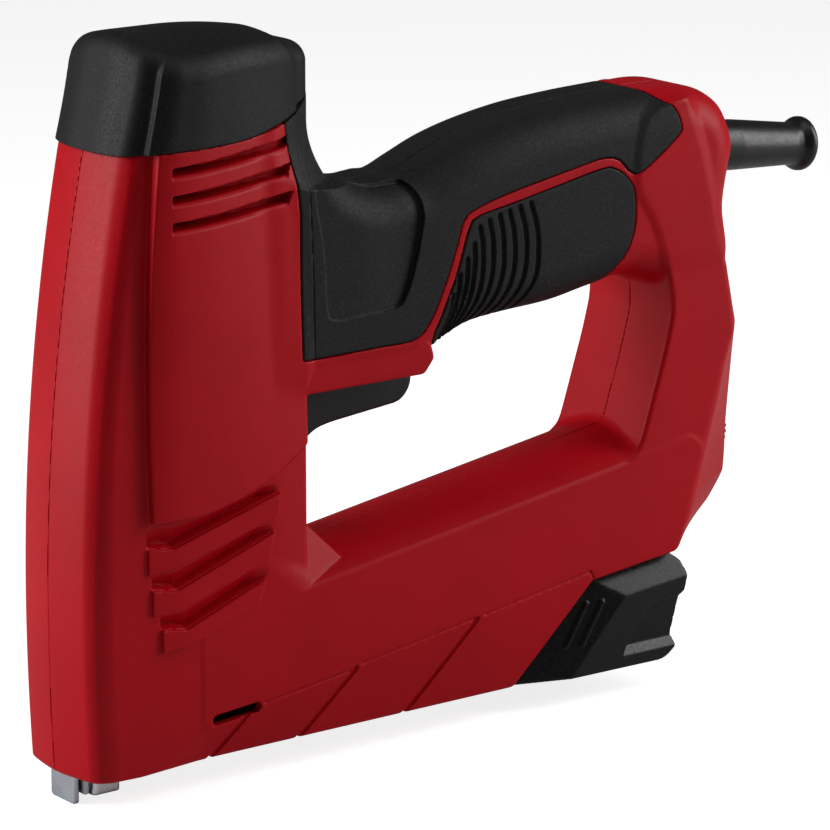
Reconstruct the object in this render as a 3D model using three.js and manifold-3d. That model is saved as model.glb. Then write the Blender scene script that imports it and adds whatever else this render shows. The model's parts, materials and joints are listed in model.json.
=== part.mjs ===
// Corded electric staple gun: two moulded half shells around a solenoid, a driver blade and
// a bottom-loading staple magazine. Millimetres, +Z up, +X to the rear, left half on -Y.
// The origin is on the nose's bottom face, in the middle of the tool's width.
import * as THREE from 'three';
import { mergeVertices } from 'three/addons/utils/BufferGeometryUtils.js';
import Module from 'manifold-3d';

const wasm = await Module();
wasm.setup();

// Driving dimensions.
const GAP = 0.3;             // clearance kept between touching pieces
const WALL = 2.6;            // moulded shell wall
const SKIN = 2.2;            // soft grip thickness
const HALF_WIDTH = 19;       // flat side panels
const BULGE_HALF_WIDTH = 23.3;
const BASE_Z = 6.3;          // underside of the housing
const SHELL_TOP_Z = 171.3;   // where the head cap starts
const CAP_TOP_Z = 199.8;
const CROWN = 11.4;          // staple crown width
const SOLENOID_X = 19;
const YOKE_Z = [72, 130];
const YOKE_PLATE = 4;        // thickness of the yoke's top and bottom plates
const PLUNGER_R = 7;
const PLUNGER_PLAY = 0.6;
const BOBBIN_WALL = 1.2;
const CARRIER_TOP_Z = 63;    // driver carrier, at rest
const BLADE_X = [-2.9, -1.9];
const BLADE_TIP_Z = 21.5;
const RIVET_Z = 58.5;        // rivet that ties the blade to the carrier, at rest
const RIVET_HEAD_R = 2.4;
const CONTACT_REACH = 1.8;   // how far the safety contact stands below the nose
const CONTACT_SEAT_Z = [65, 73.3]; // safety spring: contact's top, rib above
const FOOT_REAR = 7;         // rear end of the nose's foot, which rests on the work
const FOOT_TOP_Z = 4;
const CHANNEL_Z = [6.6, 21.9];
const ROD_Z = 13;            // pusher rod
const CLAMP_X = 188;         // cable clamp
const MAGAZINE_X = [9.7, 129];
const DIAL_AT = [207.5, 64.5];
const DIAL_R = 12;
const SCREW_HEAD_Y = 12.2;   // underside of the housing screws' heads
const POST_HALF = 17;        // screw posts reach this far from the middle
const YOKE_HALF = 13;
const BOBBIN_R = 14.6;
const CONTACT_X = [-6.5, -4.9]; // bent plate of the safety contact
const TRIGGER_PIVOT = [68.5, 107.5];
const SLEEVE_ROOT = new THREE.Vector3(200.8, 0, 148.6);
const SLEEVE_TIP = new THREE.Vector3(248.3, 0, 143.9);
const SCREWS = [[46, 42], [52, 100], [49, 142], [5.6, 136], [100, 42], [148, 50], [197, 84], [194, 122]];

// Side outlines, as [x, z].
const FRONT = [
  [-8.9, 6.3], [-9.6, 25], [-10, 50], [-9.4, 77], [-7.1, 104], [-4, 130], [0.3, 156], [3, 171.3],
];
const BASE = [
  [20, 6.3], [131.5, 6.3], [157, 33], [188, 36.2], [197, 36.5], [206, 46], [212, 54], [213.3, 68],
  [214.5, 83], [218, 97], [216, 105], [212, 120], [190, 128], [181, 114], [184, 106], [183, 98],
  [174.6, 72], [160, 70], [120, 63.6], [85, 58], [67, 57.6], [61.5, 64], [61.5, 112], [20, 112],
];
const HANDLE = [
  [42, 101], [101, 101], [113, 110], [145, 113], [163, 116], [178, 116], [190, 108], [212, 118],
  [209, 134], [211, 152], [203, 164.8], [189, 168.5], [160, 167.6], [130, 164], [105, 156.5],
  [88, 153], [77, 156], [72, 166], [71.5, 185], [42, 185],
];
const UPPER_GRIP = [
  [59.5, 110.4], [95.9, 110.9], [100.8, 115.3], [105.8, 124.9], [109.4, 134], [112, 141.7], [116.5, 144],
  [151.5, 151.2], [162.8, 152.6], [165.6, 151.4], [169.5, 147.6], [173.3, 147.5], [187, 159.4], [184, 190],
  [71, 190], [59.5, 171.6],
];
const GRIP_PAD = [
  [101.5, 110.8], [103, 104], [112, 95], [167, 100], [171.5, 124], [171.3, 141.7], [168.5, 146.6],
  [163.7, 149.7], [159, 149.9], [116.6, 142.2], [113.8, 140], [109.4, 127.4],
];
const TRIGGER = [
  [63, 82], [66, 84.6], [70, 87.4], [75, 88.8], [98, 91], [101.5, 92.5], [102.8, 96],
  [103, 101], [101, 108], [97, 110], [76, 110], [70, 112], [66, 111], [63, 107],
];
const SLIDER = [
  [132, 6.1], [183.5, 5.7], [187.6, 8.9], [186.7, 12.6], [188.4, 23.5], [190.6, 24.8], [191.8, 29.6],
  [187.9, 35.7], [157.4, 32.6],
];

const MATERIALS = {
  red: new THREE.MeshStandardMaterial({ color: 0xb01217, roughness: 0.45, metalness: 0 }),
  cap: new THREE.MeshStandardMaterial({ color: 0x222224, roughness: 0.7, metalness: 0 }),
  soft: new THREE.MeshStandardMaterial({ color: 0x262628, roughness: 0.8, metalness: 0 }),
  black: new THREE.MeshStandardMaterial({ color: 0x161618, roughness: 0.4, metalness: 0 }),
  rubber: new THREE.MeshStandardMaterial({ color: 0x141415, roughness: 0.6, metalness: 0 }),
  chrome: new THREE.MeshStandardMaterial({ color: 0xcfd2d6, roughness: 0.2, metalness: 1 }),
  zinc: new THREE.MeshStandardMaterial({ color: 0x9aa3ad, roughness: 0.4, metalness: 1 }),
  steel: new THREE.MeshStandardMaterial({ color: 0x8c8f93, roughness: 0.35, metalness: 1 }),
  iron: new THREE.MeshStandardMaterial({ color: 0x6a6c70, roughness: 0.55, metalness: 1 }),
  copper: new THREE.MeshStandardMaterial({ color: 0xa4552a, roughness: 0.4, metalness: 1 }),
  bobbin: new THREE.MeshStandardMaterial({ color: 0xe6e2d6, roughness: 0.5, metalness: 0 }),
  board: new THREE.MeshStandardMaterial({ color: 0x1f5a34, roughness: 0.5, metalness: 0 }),
};

// A three.js geometry becomes a solid with its faces pointing out.
function solid(geometry) {
  const bare = new THREE.BufferGeometry();
  bare.setAttribute('position', geometry.getAttribute('position').clone());
  if (geometry.index) bare.setIndex(geometry.index.clone());
  const merged = mergeVertices(bare, 1e-3);
  const p = merged.getAttribute('position');
  const triangles = Uint32Array.from(merged.index.array);
  const [a, b, c] = [new THREE.Vector3(), new THREE.Vector3(), new THREE.Vector3()];
  let volume = 0;
  for (let i = 0; i < triangles.length; i += 3) {
    a.fromBufferAttribute(p, triangles[i]);
    b.fromBufferAttribute(p, triangles[i + 1]);
    c.fromBufferAttribute(p, triangles[i + 2]);
    volume += a.dot(b.cross(c));
  }
  if (volume < 0) {
    for (let i = 0; i < triangles.length; i += 3) {
      [triangles[i], triangles[i + 1]] = [triangles[i + 1], triangles[i]];
    }
  }
  const vertProperties = Float32Array.from(p.array);
  return new wasm.Manifold(new wasm.Mesh({ numProp: 3, vertProperties, triVerts: triangles }));
}

function join(first, ...others) {
  return others.reduce((whole, other) => whole.add(other), first);
}

function cut(first, ...others) {
  return others.reduce((whole, other) => whole.subtract(other), first);
}

function box(x0, x1, y0, y1, z0, z1) {
  const geometry = new THREE.BoxGeometry(x1 - x0, y1 - y0, z1 - z0);
  return solid(geometry.translate((x0 + x1) / 2, (y0 + y1) / 2, (z0 + z1) / 2));
}

// A cylinder between two points.
function rod(from, to, radius, sides = 16) {
  const start = new THREE.Vector3(...from);
  const along = new THREE.Vector3(...to).sub(start);
  const geometry = new THREE.CylinderGeometry(radius, radius, along.length(), sides);
  geometry.translate(0, along.length() / 2, 0);
  const turn = new THREE.Quaternion().setFromUnitVectors(new THREE.Vector3(0, 1, 0), along.normalize());
  return solid(geometry.applyQuaternion(turn).translate(start.x, start.y, start.z));
}

// A turned piece: a profile of [radius, height] about the line from base along axis.
function turned(profile, base, axis, sides = 24) {
  const geometry = new THREE.LatheGeometry(profile.map(([r, h]) => new THREE.Vector2(r, h)), sides);
  const up = new THREE.Vector3(...axis).normalize();
  const turn = new THREE.Quaternion().setFromUnitVectors(new THREE.Vector3(0, 1, 0), up);
  return solid(geometry.applyQuaternion(turn).translate(...base));
}

// A tube or spool wall between two radii.
function sleeve(inner, outer, base, axis, height, sides = 24) {
  const profile = [[inner, 0], [outer, 0], [outer, height], [inner, height], [inner, 0]];
  return turned(profile, base, axis, sides);
}

function extruded(outline, depth) {
  const shape = new THREE.Shape(outline.map(([u, v]) => new THREE.Vector2(u, v)));
  return new THREE.ExtrudeGeometry(shape, { depth, bevelEnabled: false });
}

// An outline in the side view, made thick from y0 to y1.
function sidePlate(outline, y0, y1) {
  return solid(extruded(outline, y1 - y0).rotateX(Math.PI / 2).translate(0, y1, 0));
}

// An outline in the front view, as [y, z], made long from x0 to x1.
function rail(outline, x0, x1) {
  const turn = new THREE.Matrix4().makeBasis(
    new THREE.Vector3(0, 1, 0), new THREE.Vector3(0, 0, 1), new THREE.Vector3(1, 0, 0));
  return solid(extruded(outline, x1 - x0).applyMatrix4(turn).translate(x0, 0, 0));
}

// Moves every side of a closed outline inwards (or outwards, when distance is negative).
function inset(outline, distance) {
  const area = THREE.ShapeUtils.area(outline.map(([u, v]) => ({ x: u, y: v })));
  const side = Math.sign(area) * distance;
  return outline.map((point, i) => {
    const before = outline[(i + outline.length - 1) % outline.length];
    const after = outline[(i + 1) % outline.length];
    const into = new THREE.Vector2(point[0] - before[0], point[1] - before[1]).normalize();
    const away = new THREE.Vector2(after[0] - point[0], after[1] - point[1]).normalize();
    const bisector = new THREE.Vector2(-into.y - away.y, into.x + away.x);
    const scale = (2 * side) / Math.max(bisector.lengthSq(), 1);
    return [point[0] + bisector.x * scale, point[1] + bisector.y * scale];
  });
}

// Skins a stack of outlines with equal counts of [x, y, z] points into a closed solid. The
// flat outline says how the two ends are filled.
function loft(layers, flat) {
  const count = layers[0].length;
  const contour = flat.map(([u, v]) => new THREE.Vector2(u, v));
  const ends = THREE.ShapeUtils.triangulateShape(contour, []);
  const anticlockwise = THREE.ShapeUtils.area(contour) > 0;
  const triangles = [];
  const corner = (layer, i) => layers[layer][i % count];
  for (let layer = 0; layer + 1 < layers.length; layer += 1) {
    for (let i = 0; i < count; i += 1) {
      triangles.push(corner(layer, i), corner(layer, i + 1), corner(layer + 1, i + 1));
      triangles.push(corner(layer, i), corner(layer + 1, i + 1), corner(layer + 1, i));
    }
  }
  [0, layers.length - 1].forEach((layer) => {
    ends.forEach(([i, j, k]) => {
      const face = [corner(layer, i), corner(layer, j), corner(layer, k)];
      triangles.push(...((layer === 0) === anticlockwise ? face.reverse() : face));
    });
  });
  const geometry = new THREE.BufferGeometry();
  geometry.setAttribute('position', new THREE.Float32BufferAttribute(triangles.flat(), 3));
  return solid(geometry);
}

// A side outline made thick about y = 0, its edges rounded over in steps of [y, inset].
function pillow(outline, steps, shrink = 0) {
  const near = steps.map(([y, step]) => [-y, step]);
  const far = steps.map(([y, step]) => [y, step]).reverse();
  const layers = [...near, ...far];
  return loft(layers.map(([y, step]) => {
    const edge = y - Math.sign(y) * shrink;
    return inset(outline, step + shrink).map(([x, z]) => [x, edge, z]);
  }), outline);
}

function frontX(z) {
  const above = Math.max(1, FRONT.findIndex((point) => point[1] >= z));
  const [[x0, z0], [x1, z1]] = [FRONT[above - 1], FRONT[above]];
  return THREE.MathUtils.lerp(x0, x1, (z - z0) / (z1 - z0));
}

function mirroredPlan(half, z) {
  const right = half.map(([x, y]) => [x, y]).reverse();
  return [...half.map(([x, y]) => [x, -y]), ...right].map(([x, y]) => [x, y, z]);
}

// The head's plan at one height: a flat front, faceted corners, flat sides.
function headPlan(z) {
  const front = frontX(z);
  const up = THREE.MathUtils.clamp((z - BASE_Z) / (SHELL_TOP_Z - BASE_Z), 0, 1);
  const lean = THREE.MathUtils.clamp((z - 100) / (SHELL_TOP_Z - 100), 0, 1);
  const narrow = THREE.MathUtils.lerp(HALF_WIDTH, 14.3, lean);
  const half = [
    [front, 9 + 3 * up], [front + 2, 14.3 + 2 * up], [front + 6, 16.7 + 2 * up],
    [front + 13, 17.8 + up], [30, HALF_WIDTH], [59, narrow],
  ];
  return mirroredPlan(half, z);
}

function headBlock(shrink) {
  return loft(FRONT.map(([, z], i) => {
    const level = i === 0 ? z + shrink : z;
    return inset(headPlan(level), shrink).map(([x, y]) => [x, y, level]);
  }), headPlan(BASE_Z));
}

// The swelling around the solenoid, which starts at a sharp upright step behind the front facets.
function headBulge() {
  const steps = [[80, 11.6], [91, 9.7], [107, 9], [133, 10.1], [SHELL_TOP_Z, 11.7]];
  const layers = steps.map(([z, x], i) => {
    const proud = i === 0 ? 0 : 1;
    const half = [
      [x, 15], [x, 19.4 + 2 * proud], [x + 4, 19.8 + 3.5 * proud], [25, 19.4 + 3.6 * proud],
      [37, 19 + 2 * proud], [48, 18], [57, 14.5],
    ];
    return mirroredPlan(half, z);
  });
  return loft(layers, layers[layers.length - 1]);
}

const ROUND_EDGE = [[18.5, 6.5], [16, 3], [12.5, 0.9], [8.5, 0]];
const CRISP_EDGE = [[HALF_WIDTH, 1.6], [HALF_WIDTH - 1.6, 0]];

function outerBody() {
  const collar = turned([[0, 0], [14, 0], [14, 6], [11, 12], [8.9, 14], [0, 14]],
    SLEEVE_ROOT.toArray(), [SLEEVE_TIP.x - SLEEVE_ROOT.x, 0, SLEEVE_TIP.z - SLEEVE_ROOT.z]);
  return join(headBlock(0), headBulge(), pillow(BASE, CRISP_EDGE), pillow(HANDLE, ROUND_EDGE), collar);
}

function shellCavity() {
  const lower = pillow(BASE, CRISP_EDGE, WALL);
  const upper = pillow(HANDLE, ROUND_EDGE, WALL + SKIN + GAP);
  const head = headBlock(WALL);
  const top = box(14, 50, -15, 15, SHELL_TOP_Z - 8, SHELL_TOP_Z + 1);
  const sleeveSeat = rod([188, 0, 149.9], [201, 0, 148.6], 10.2);
  return join(lower, upper, head, top, sleeveSeat);
}

const gripArea = () => sidePlate(UPPER_GRIP, -30, 30);
const padArea = () => sidePlate(GRIP_PAD, -30, 30);
const handleCore = (shrink) => pillow(HANDLE, ROUND_EDGE, shrink);

const triggerSlot = () => box(61.2, 105, -8.6, 8.6, 94, 114);

function slot(x0, z0, x1, z1, height, y0, y1) {
  const outline = [[x0, z0], [x1, z1], [x1, z1 - height], [x0, z0 - height]];
  return sidePlate(outline, y0, y1);
}

// Everything that opens the shells to the outside.
function shellOpenings() {
  const vents = [167.5, 160.4, 153.3].flatMap((z) => [
    slot(15.5, z, 56, z + 3, 2.3, -30, -15.2),
    slot(15.5, z, 56, z + 3, 2.3, 15.2, 30),
  ]);
  const louvres = [[16.6, 71.5], [18.2, 60.5], [20.6, 49.5]].flatMap(([x, z]) => [
    slot(x, z, 49, z + 6.5, 3.2, -24, -17.6),
    slot(x, z, 49, z + 6.5, 3.2, 17.6, 24),
  ]);
  const along = SLEEVE_TIP.clone().sub(SLEEVE_ROOT).normalize();
  const mouth = SLEEVE_ROOT.clone().addScaledVector(along, 20).toArray();
  const tail = SLEEVE_ROOT.clone().addScaledVector(along, -1).toArray();
  return [
    ...vents,
    ...louvres,
    box(-5, 10, -7.8, 7.8, 4, 12),
    box(CONTACT_X[0] - 0.4, 0, -6, 6, 4, 17),
    box(9, 160, -7.6, 7.6, 4, 23),
    slot(28.5, 20.4, 44.2, 21.5, 3, -24, -15),
    slot(28.5, 20.4, 44.2, 21.5, 3, 15, 24),
    triggerSlot(),
    box(196, 222, -3.4, 3.4, 51.5, 77.5),
    rod(tail, mouth, 7.4),
  ];
}

// A screw post across the shell: blind on the left, bored and counterbored on the right.
function screwPost([x, z]) {
  const post = rod([x, -POST_HALF, z], [x, POST_HALF, z], 3.4, 12);
  const thread = rod([x, -12, z], [x, 20, z], 1.8, 12);
  const head = rod([x, SCREW_HEAD_Y - GAP, z], [x, 24, z], 3.1, 12);
  return { post, bore: join(thread, head) };
}

// Posts on both sides of the trigger that hold its pin.
function pinPosts() {
  const [x, z] = TRIGGER_PIVOT;
  return [-1, 1].map((side) => ({
    post: rod([x, side * 8.9, z], [x, side * POST_HALF, z], 4, 12),
    bore: rod([x, side * 8, z], [x, side * 12.3, z], 1.85, 12),
  }));
}

// Rib that the safety spring pushes against.
const springRib = () => box(-9, -1.4, -4, 4, CONTACT_SEAT_Z[1], CONTACT_SEAT_Z[1] + 2);

// What lies outside the cap's plan at the neck, from the cap's edge down to where it has flared out.
function neckTrim() {
  const [low, high] = [157, SHELL_TOP_Z + 1];
  const plan = capPlan(high, 1, 1, 0);
  const kept = loft([capPlan(low, 1.2, 1.4, 0), plan], plan);
  return box(57.5, 74, -30, 30, low, high).subtract(kept);
}

function shells() {
  const posts = [...SCREWS.map(screwPost), ...pinPosts()];
  const body = outerBody();
  const gripCut = gripArea().subtract(handleCore(SKIN + GAP)).intersect(box(56, 200, -30, 30, 90, 200));
  const padCut = padArea().subtract(handleCore(SKIN + GAP));
  const hollow = cut(shellCavity(), springRib(), ...posts.map(({ post }) => post));
  const bores = posts.map(({ bore }) => bore);
  const both = cut(body, hollow, gripCut, padCut, neckTrim(), ...shellOpenings(), ...bores);
  return {
    left: both.intersect(box(-30, 240, -40, -GAP / 2, 0, SHELL_TOP_Z)),
    right: both.intersect(box(-30, 240, GAP / 2, 40, 0, SHELL_TOP_Z)),
  };
}

// The soft grips are skins between the handle's outside and its hard core, split at y = 0.
function softGrips() {
  const skin = handleCore(0).subtract(handleCore(SKIN));
  const upperArea = sidePlate(inset(UPPER_GRIP, GAP), -30, 30);
  const padRegion = sidePlate(inset(GRIP_PAD, GAP), -30, 30);
  const left = box(56, 200, -40, -GAP / 2, 90, SHELL_TOP_Z - 1);
  const right = box(56, 200, GAP / 2, 40, 90, SHELL_TOP_Z - 1);
  const head = headBlock(-GAP);
  const upper = cut(skin.intersect(upperArea), head, headBulge(), neckTrim(), triggerSlot());
  const pad = skin.intersect(padRegion).subtract(triggerSlot());
  return {
    soft_grip_left: upper.intersect(left),
    soft_grip_right: upper.intersect(right),
    grip_pad_left: pad.intersect(left),
    grip_pad_right: pad.intersect(right),
  };
}

function capPlan(z, along, across, forward) {
  const half = [
    [4.5, 13.5], [9.5, 19.1], [9.2, 21.4], [14.4, BULGE_HALF_WIDTH], [25, 23], [37, 21], [48, 18],
    [57, 15], [64, 11], [69, 7], [71, 3],
  ];
  const middle = 34;
  return mirroredPlan(half.map(([x, y]) => [middle + (x - middle) * along + forward, y * across]), z);
}

function headCap() {
  const plan = capPlan(0, 1, 1, 0);
  const outside = loft([
    capPlan(SHELL_TOP_Z + GAP, 1, 1, 0), capPlan(187, 0.97, 0.97, 1.2), capPlan(193, 0.9, 0.92, 1),
    capPlan(197, 0.78, 0.82, -0.5), capPlan(CAP_TOP_Z, 0.5, 0.55, -4),
  ], plan);
  const inside = loft([
    capPlan(SHELL_TOP_Z - 1, 0.86, 0.86, 1), capPlan(187, 0.85, 0.85, 1.2), capPlan(193, 0.74, 0.78, 1),
    capPlan(CAP_TOP_Z - 2.6, 0.45, 0.5, -3),
  ], plan);
  return cut(outside, inside);
}

function screw([x, z]) {
  const top = SCREW_HEAD_Y + 2.8;
  return join(rod([x, -11, z], [x, top, z], 1.5, 10), rod([x, SCREW_HEAD_Y, z], [x, top, z], 2.8, 12));
}

function trigger() {
  const blade = sidePlate(TRIGGER, -8, 8);
  const [x, z] = TRIGGER_PIVOT;
  const pivotBore = rod([x, -9, z], [x, 9, z], 1.6);
  const inside = box(75, 98.5, -5.6, 5.6, 93, 112);
  return cut(blade, pivotBore, inside);
}

function triggerPin() {
  const [x, z] = TRIGGER_PIVOT;
  return rod([x, -12, z], [x, 12, z], 1.5);
}

function microswitch() {
  const [x0, x1] = [76, 96];
  const button = box(x0 + 4, x0 + 7, -1.5, 1.5, 115.5, 118);
  const holes = [x0 + 4, x1 - 4].map((x) => rod([x, -6, 123], [x, 6, 123], 1.3, 12));
  return cut(join(box(x0, x1, -5, 5, 117, 128), button), ...holes);
}

function yoke() {
  const [z0, z1] = YOKE_Z;
  const [outer, inner] = [19.5, 16.3];
  const frame = box(SOLENOID_X - outer, SOLENOID_X + outer, -YOKE_HALF, YOKE_HALF, z0, z1);
  const [low, high] = [z0 + YOKE_PLATE, z1 - YOKE_PLATE];
  const window = box(SOLENOID_X - inner, SOLENOID_X + inner, -YOKE_HALF - 1, YOKE_HALF + 1, low, high);
  const bore = rod([SOLENOID_X, 0, z0 - 1], [SOLENOID_X, 0, z1 + 1], PLUNGER_R + PLUNGER_PLAY);
  return cut(frame, window, bore);
}

function bobbin() {
  const low = YOKE_Z[0] + YOKE_PLATE + GAP;
  const height = YOKE_Z[1] - YOKE_PLATE - GAP - low;
  const inner = PLUNGER_R + PLUNGER_PLAY;
  const core = inner + BOBBIN_WALL;
  const flange = 1.4;
  const profile = [
    [inner, 0], [BOBBIN_R, 0], [BOBBIN_R, flange], [core, flange], [core, height - flange],
    [BOBBIN_R, height - flange], [BOBBIN_R, height], [inner, height], [inner, 0],
  ];
  return turned(profile, [SOLENOID_X, 0, low], [0, 0, 1]);
}

function winding() {
  const margin = YOKE_PLATE + 2;
  const height = YOKE_Z[1] - YOKE_Z[0] - 2 * margin;
  const inner = PLUNGER_R + PLUNGER_PLAY + BOBBIN_WALL + GAP;
  return sleeve(inner, BOBBIN_R - 0.8, [SOLENOID_X, 0, YOKE_Z[0] + margin], [0, 0, 1], height);
}

// Iron core with a push rod below and a spring seat on top.
function plunger() {
  const [rod, seat, tip] = [3, 9.8, 5];
  const [core, flange, crown, end] = [28, 98, 101.5, 104];
  const profile = [
    [0, 0], [rod, 0], [rod, core], [PLUNGER_R, core], [PLUNGER_R, flange], [seat, flange],
    [seat, crown], [tip, end], [0, end],
  ];
  return turned(profile, [SOLENOID_X, 0, CARRIER_TOP_Z], [0, 0, 1]);
}

function driverCarrier() {
  const arm = box(BLADE_X[1] + GAP, SOLENOID_X + 6, -6, 6, 54, CARRIER_TOP_Z - GAP);
  const rivetHole = rod([-6, 0, RIVET_Z], [5, 0, RIVET_Z], 1.65, 16);
  return cut(arm, rivetHole);
}

function driverBlade() {
  const blade = box(...BLADE_X, -CROWN / 2 + 0.3, CROWN / 2 - 0.3, BLADE_TIP_Z, 62);
  return cut(blade, rod([-6, 0, RIVET_Z], [5, 0, RIVET_Z], 1.65, 16));
}

function bladeRivet() {
  const shank = rod([BLADE_X[0] - 0.2, 0, RIVET_Z], [4.5, 0, RIVET_Z], 1.5, 16);
  const inner = BLADE_X[0] - GAP / 2 - 0.05;
  const head = rod([BLADE_X[0] - 0.9, 0, RIVET_Z], [inner, 0, RIVET_Z], RIVET_HEAD_R, 16);
  return join(shank, head);
}

// The hardened nose: staples ride over its middle and leave in front of it.
function noseBlock() {
  const [front, half] = [-1.6, 7.4];
  const body = box(front, MAGAZINE_X[0] - GAP, -half, half, FOOT_TOP_Z, 24);
  const foot = box(front, FOOT_REAR, -half, half, 0, FOOT_TOP_Z);
  const block = join(body, foot);
  const room = 0.4;
  const saddle = [
    [-CROWN / 2 - room, CHANNEL_Z[0] + GAP], [-CROWN / 2 - room, 20.9], [CROWN / 2 + room, 20.9],
    [CROWN / 2 + room, CHANNEL_Z[0] + GAP], [4.7, CHANNEL_Z[0] + GAP], [4.7, 19.6], [-4.7, 19.6],
    [-4.7, CHANNEL_Z[0] + GAP],
  ];
  return cut(block, rail(saddle, -3, 12));
}

// Front wall of the blade's guide, slotted where the rivet's head runs down.
function guidePlate() {
  const plate = box(-4.4, -3.2, -7.4, 7.4, 1.1, 50);
  const rivetWay = box(-5, -3, -RIVET_HEAD_R - 0.4, RIVET_HEAD_R + 0.4, 34.5, 51);
  return cut(plate, rivetWay);
}

// Bent plate that is pushed up when the nose meets the work. The rivet's head runs inside its shoe.
function safetyContact() {
  const [top] = CONTACT_SEAT_Z;
  const plate = box(...CONTACT_X, -5.6, 5.6, -CONTACT_REACH, top);
  const shoe = box(CONTACT_X[0], -3.4, -5.6, 5.6, 53, top);
  const half = RIVET_HEAD_R + 0.4;
  const rivetWay = box(-4.35, -3, -half, half, 52, RIVET_Z + half + 0.2);
  return cut(join(plate, shoe), rivetWay);
}

function channel() {
  const [low, high] = CHANNEL_Z;
  const outer = CROWN / 2 + 1.4;
  const inner = CROWN / 2 + 0.4;
  const outline = [
    [-outer, low], [-outer, high], [outer, high], [outer, low], [inner, low], [inner, high - 1],
    [-inner, high - 1], [-inner, low],
  ];
  return rail(outline, ...MAGAZINE_X);
}

function stapleStrip() {
  const half = CROWN / 2;
  const outline = [
    [-half, 7.2], [-half, 20.6], [half, 20.6], [half, 7.2], [half - 0.7, 7.2], [half - 0.7, 19.9],
    [-half + 0.7, 19.9], [-half + 0.7, 7.2],
  ];
  return rail(outline, MAGAZINE_X[0] + 0.2, 58);
}

const RAIL_X = [MAGAZINE_X[0] + 0.4, 150];

// Inverted channel that the staples straddle; its tail is held in the slider's end piece.
function slideRail() {
  const [outer, inner] = [4.6, 3.6];
  const [low, high] = [8.3, 19.5];
  const outline = [
    [-outer, low], [-outer, high], [outer, high], [outer, low], [inner, low], [inner, high - 1],
    [-inner, high - 1], [-inner, low],
  ];
  const nose = box(RAIL_X[0], RAIL_X[0] + 2, -inner, inner, low, high - 0.5);
  return join(rail(outline, ...RAIL_X), nose);
}

function staplePusher() {
  const half = CROWN / 2;
  const outside = box(58.3, 70, -half, half, 7, 20.6);
  const around = rail([[-4.9, 8], [-4.9, 19.8], [-3.3, 19.8], [-3.3, 8]], 50, 80);
  const other = rail([[3.3, 8], [3.3, 19.8], [4.9, 19.8], [4.9, 8]], 50, 80);
  const roof = box(50, 80, -4.9, 4.9, 18.2, 19.8);
  return cut(outside, around, other, roof, rod([50, 0, ROD_Z], [80, 0, ROD_Z], 1.35, 16));
}

const pusherRod = () => rod([RAIL_X[0] + 2.3, 0, ROD_Z], [RAIL_X[1] - 3, 0, ROD_Z], 1.1, 12);

function magazineSlider() {
  const body = sidePlate(SLIDER, -HALF_WIDTH - 0.3, HALF_WIDTH + 0.3);
  const railSeat = box(120, RAIL_X[1] + GAP, -4.9, 4.9, 8, 19.8);
  const recess = [[146, 13.5], [166, 28], [184, 29], [183, 13.5]];
  const leftRecess = sidePlate(recess, -24, -17.8);
  const rightRecess = sidePlate(recess, 17.8, 24);
  const upperHollow = sidePlate([[152, 22], [160, 29], [181, 31], [180, 22]], -14, 14);
  const wayOut = sidePlate([[176, 22.5], [192, 22.5], [192, 28], [176, 28]], -12, 12);
  return cut(body, railSeat, leftRecess, rightRecess, upperHollow, wayOut);
}

function sleevePiece() {
  const along = SLEEVE_TIP.clone().sub(SLEEVE_ROOT);
  const length = along.length();
  const profile = [
    [3.8, -2], [9.8, -2], [9.8, -0.6], [7.1, -0.4], [7.1, 17.6], [7.3, 18], [6.3, length - 4.2],
    [7.8, length - 2.6], [7.8, length], [3.8, length], [3.8, -2],
  ];
  return turned(profile, SLEEVE_ROOT.toArray(), along.toArray());
}

function cableClamp() {
  const bar = box(CLAMP_X - 4, CLAMP_X + 4, -12, 12, 140.5, 143.5);
  const holes = [-9, 9].map((y) => rod([CLAMP_X, y, 139], [CLAMP_X, y, 145], 1.8, 16));
  return cut(bar, ...holes);
}

function clampScrew(y) {
  const shank = rod([CLAMP_X, y, 133], [CLAMP_X, y, 144.5], 1.5, 12);
  return join(shank, rod([CLAMP_X, y, 143.8], [CLAMP_X, y, 146.2], 2.8, 16));
}

function forceDial() {
  const [x, z] = DIAL_AT;
  const wheel = rod([x, -3, z], [x, 3, z], DIAL_R, 32);
  const notches = Array.from({ length: 16 }, (_, i) => {
    const angle = (i * Math.PI) / 8;
    const [u, v] = [x + DIAL_R * Math.cos(angle), z + DIAL_R * Math.sin(angle)];
    return rod([u, -4, v], [u, 4, v], 0.7, 8);
  });
  return cut(wheel, ...notches, rod([x, -5, z], [x, 5, z], 2.5, 12));
}

function dialPotentiometer() {
  const [x, z] = DIAL_AT;
  const can = box(x - 9, x + 0.8, 4.2, 8.8, z - 6, z + 6);
  return join(can, rod([x, -3.2, z], [x, 6, z], 2.2, 12));
}

function controlBoard() {
  return cut(box(118, 176, 1, 2.6, 128, 152), rod([122, 0, 132], [122, 4, 132], 1.6, 12),
    rod([172, 0, 148], [172, 4, 148], 1.6, 12));
}

const heatSink = () => join(box(136, 150, -9, -7.6, 131, 149), box(136, 150, -7.7, -4.5, 131, 132.6),
  box(136, 150, -7.7, -4.5, 147.4, 149));

function roundSection(radius, sides) {
  const corners = Array.from({ length: sides }, (_, i) => {
    const angle = (2 * Math.PI * i) / sides;
    return new THREE.Vector2(radius * Math.cos(angle), radius * Math.sin(angle));
  });
  return new THREE.Shape(corners);
}

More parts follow.
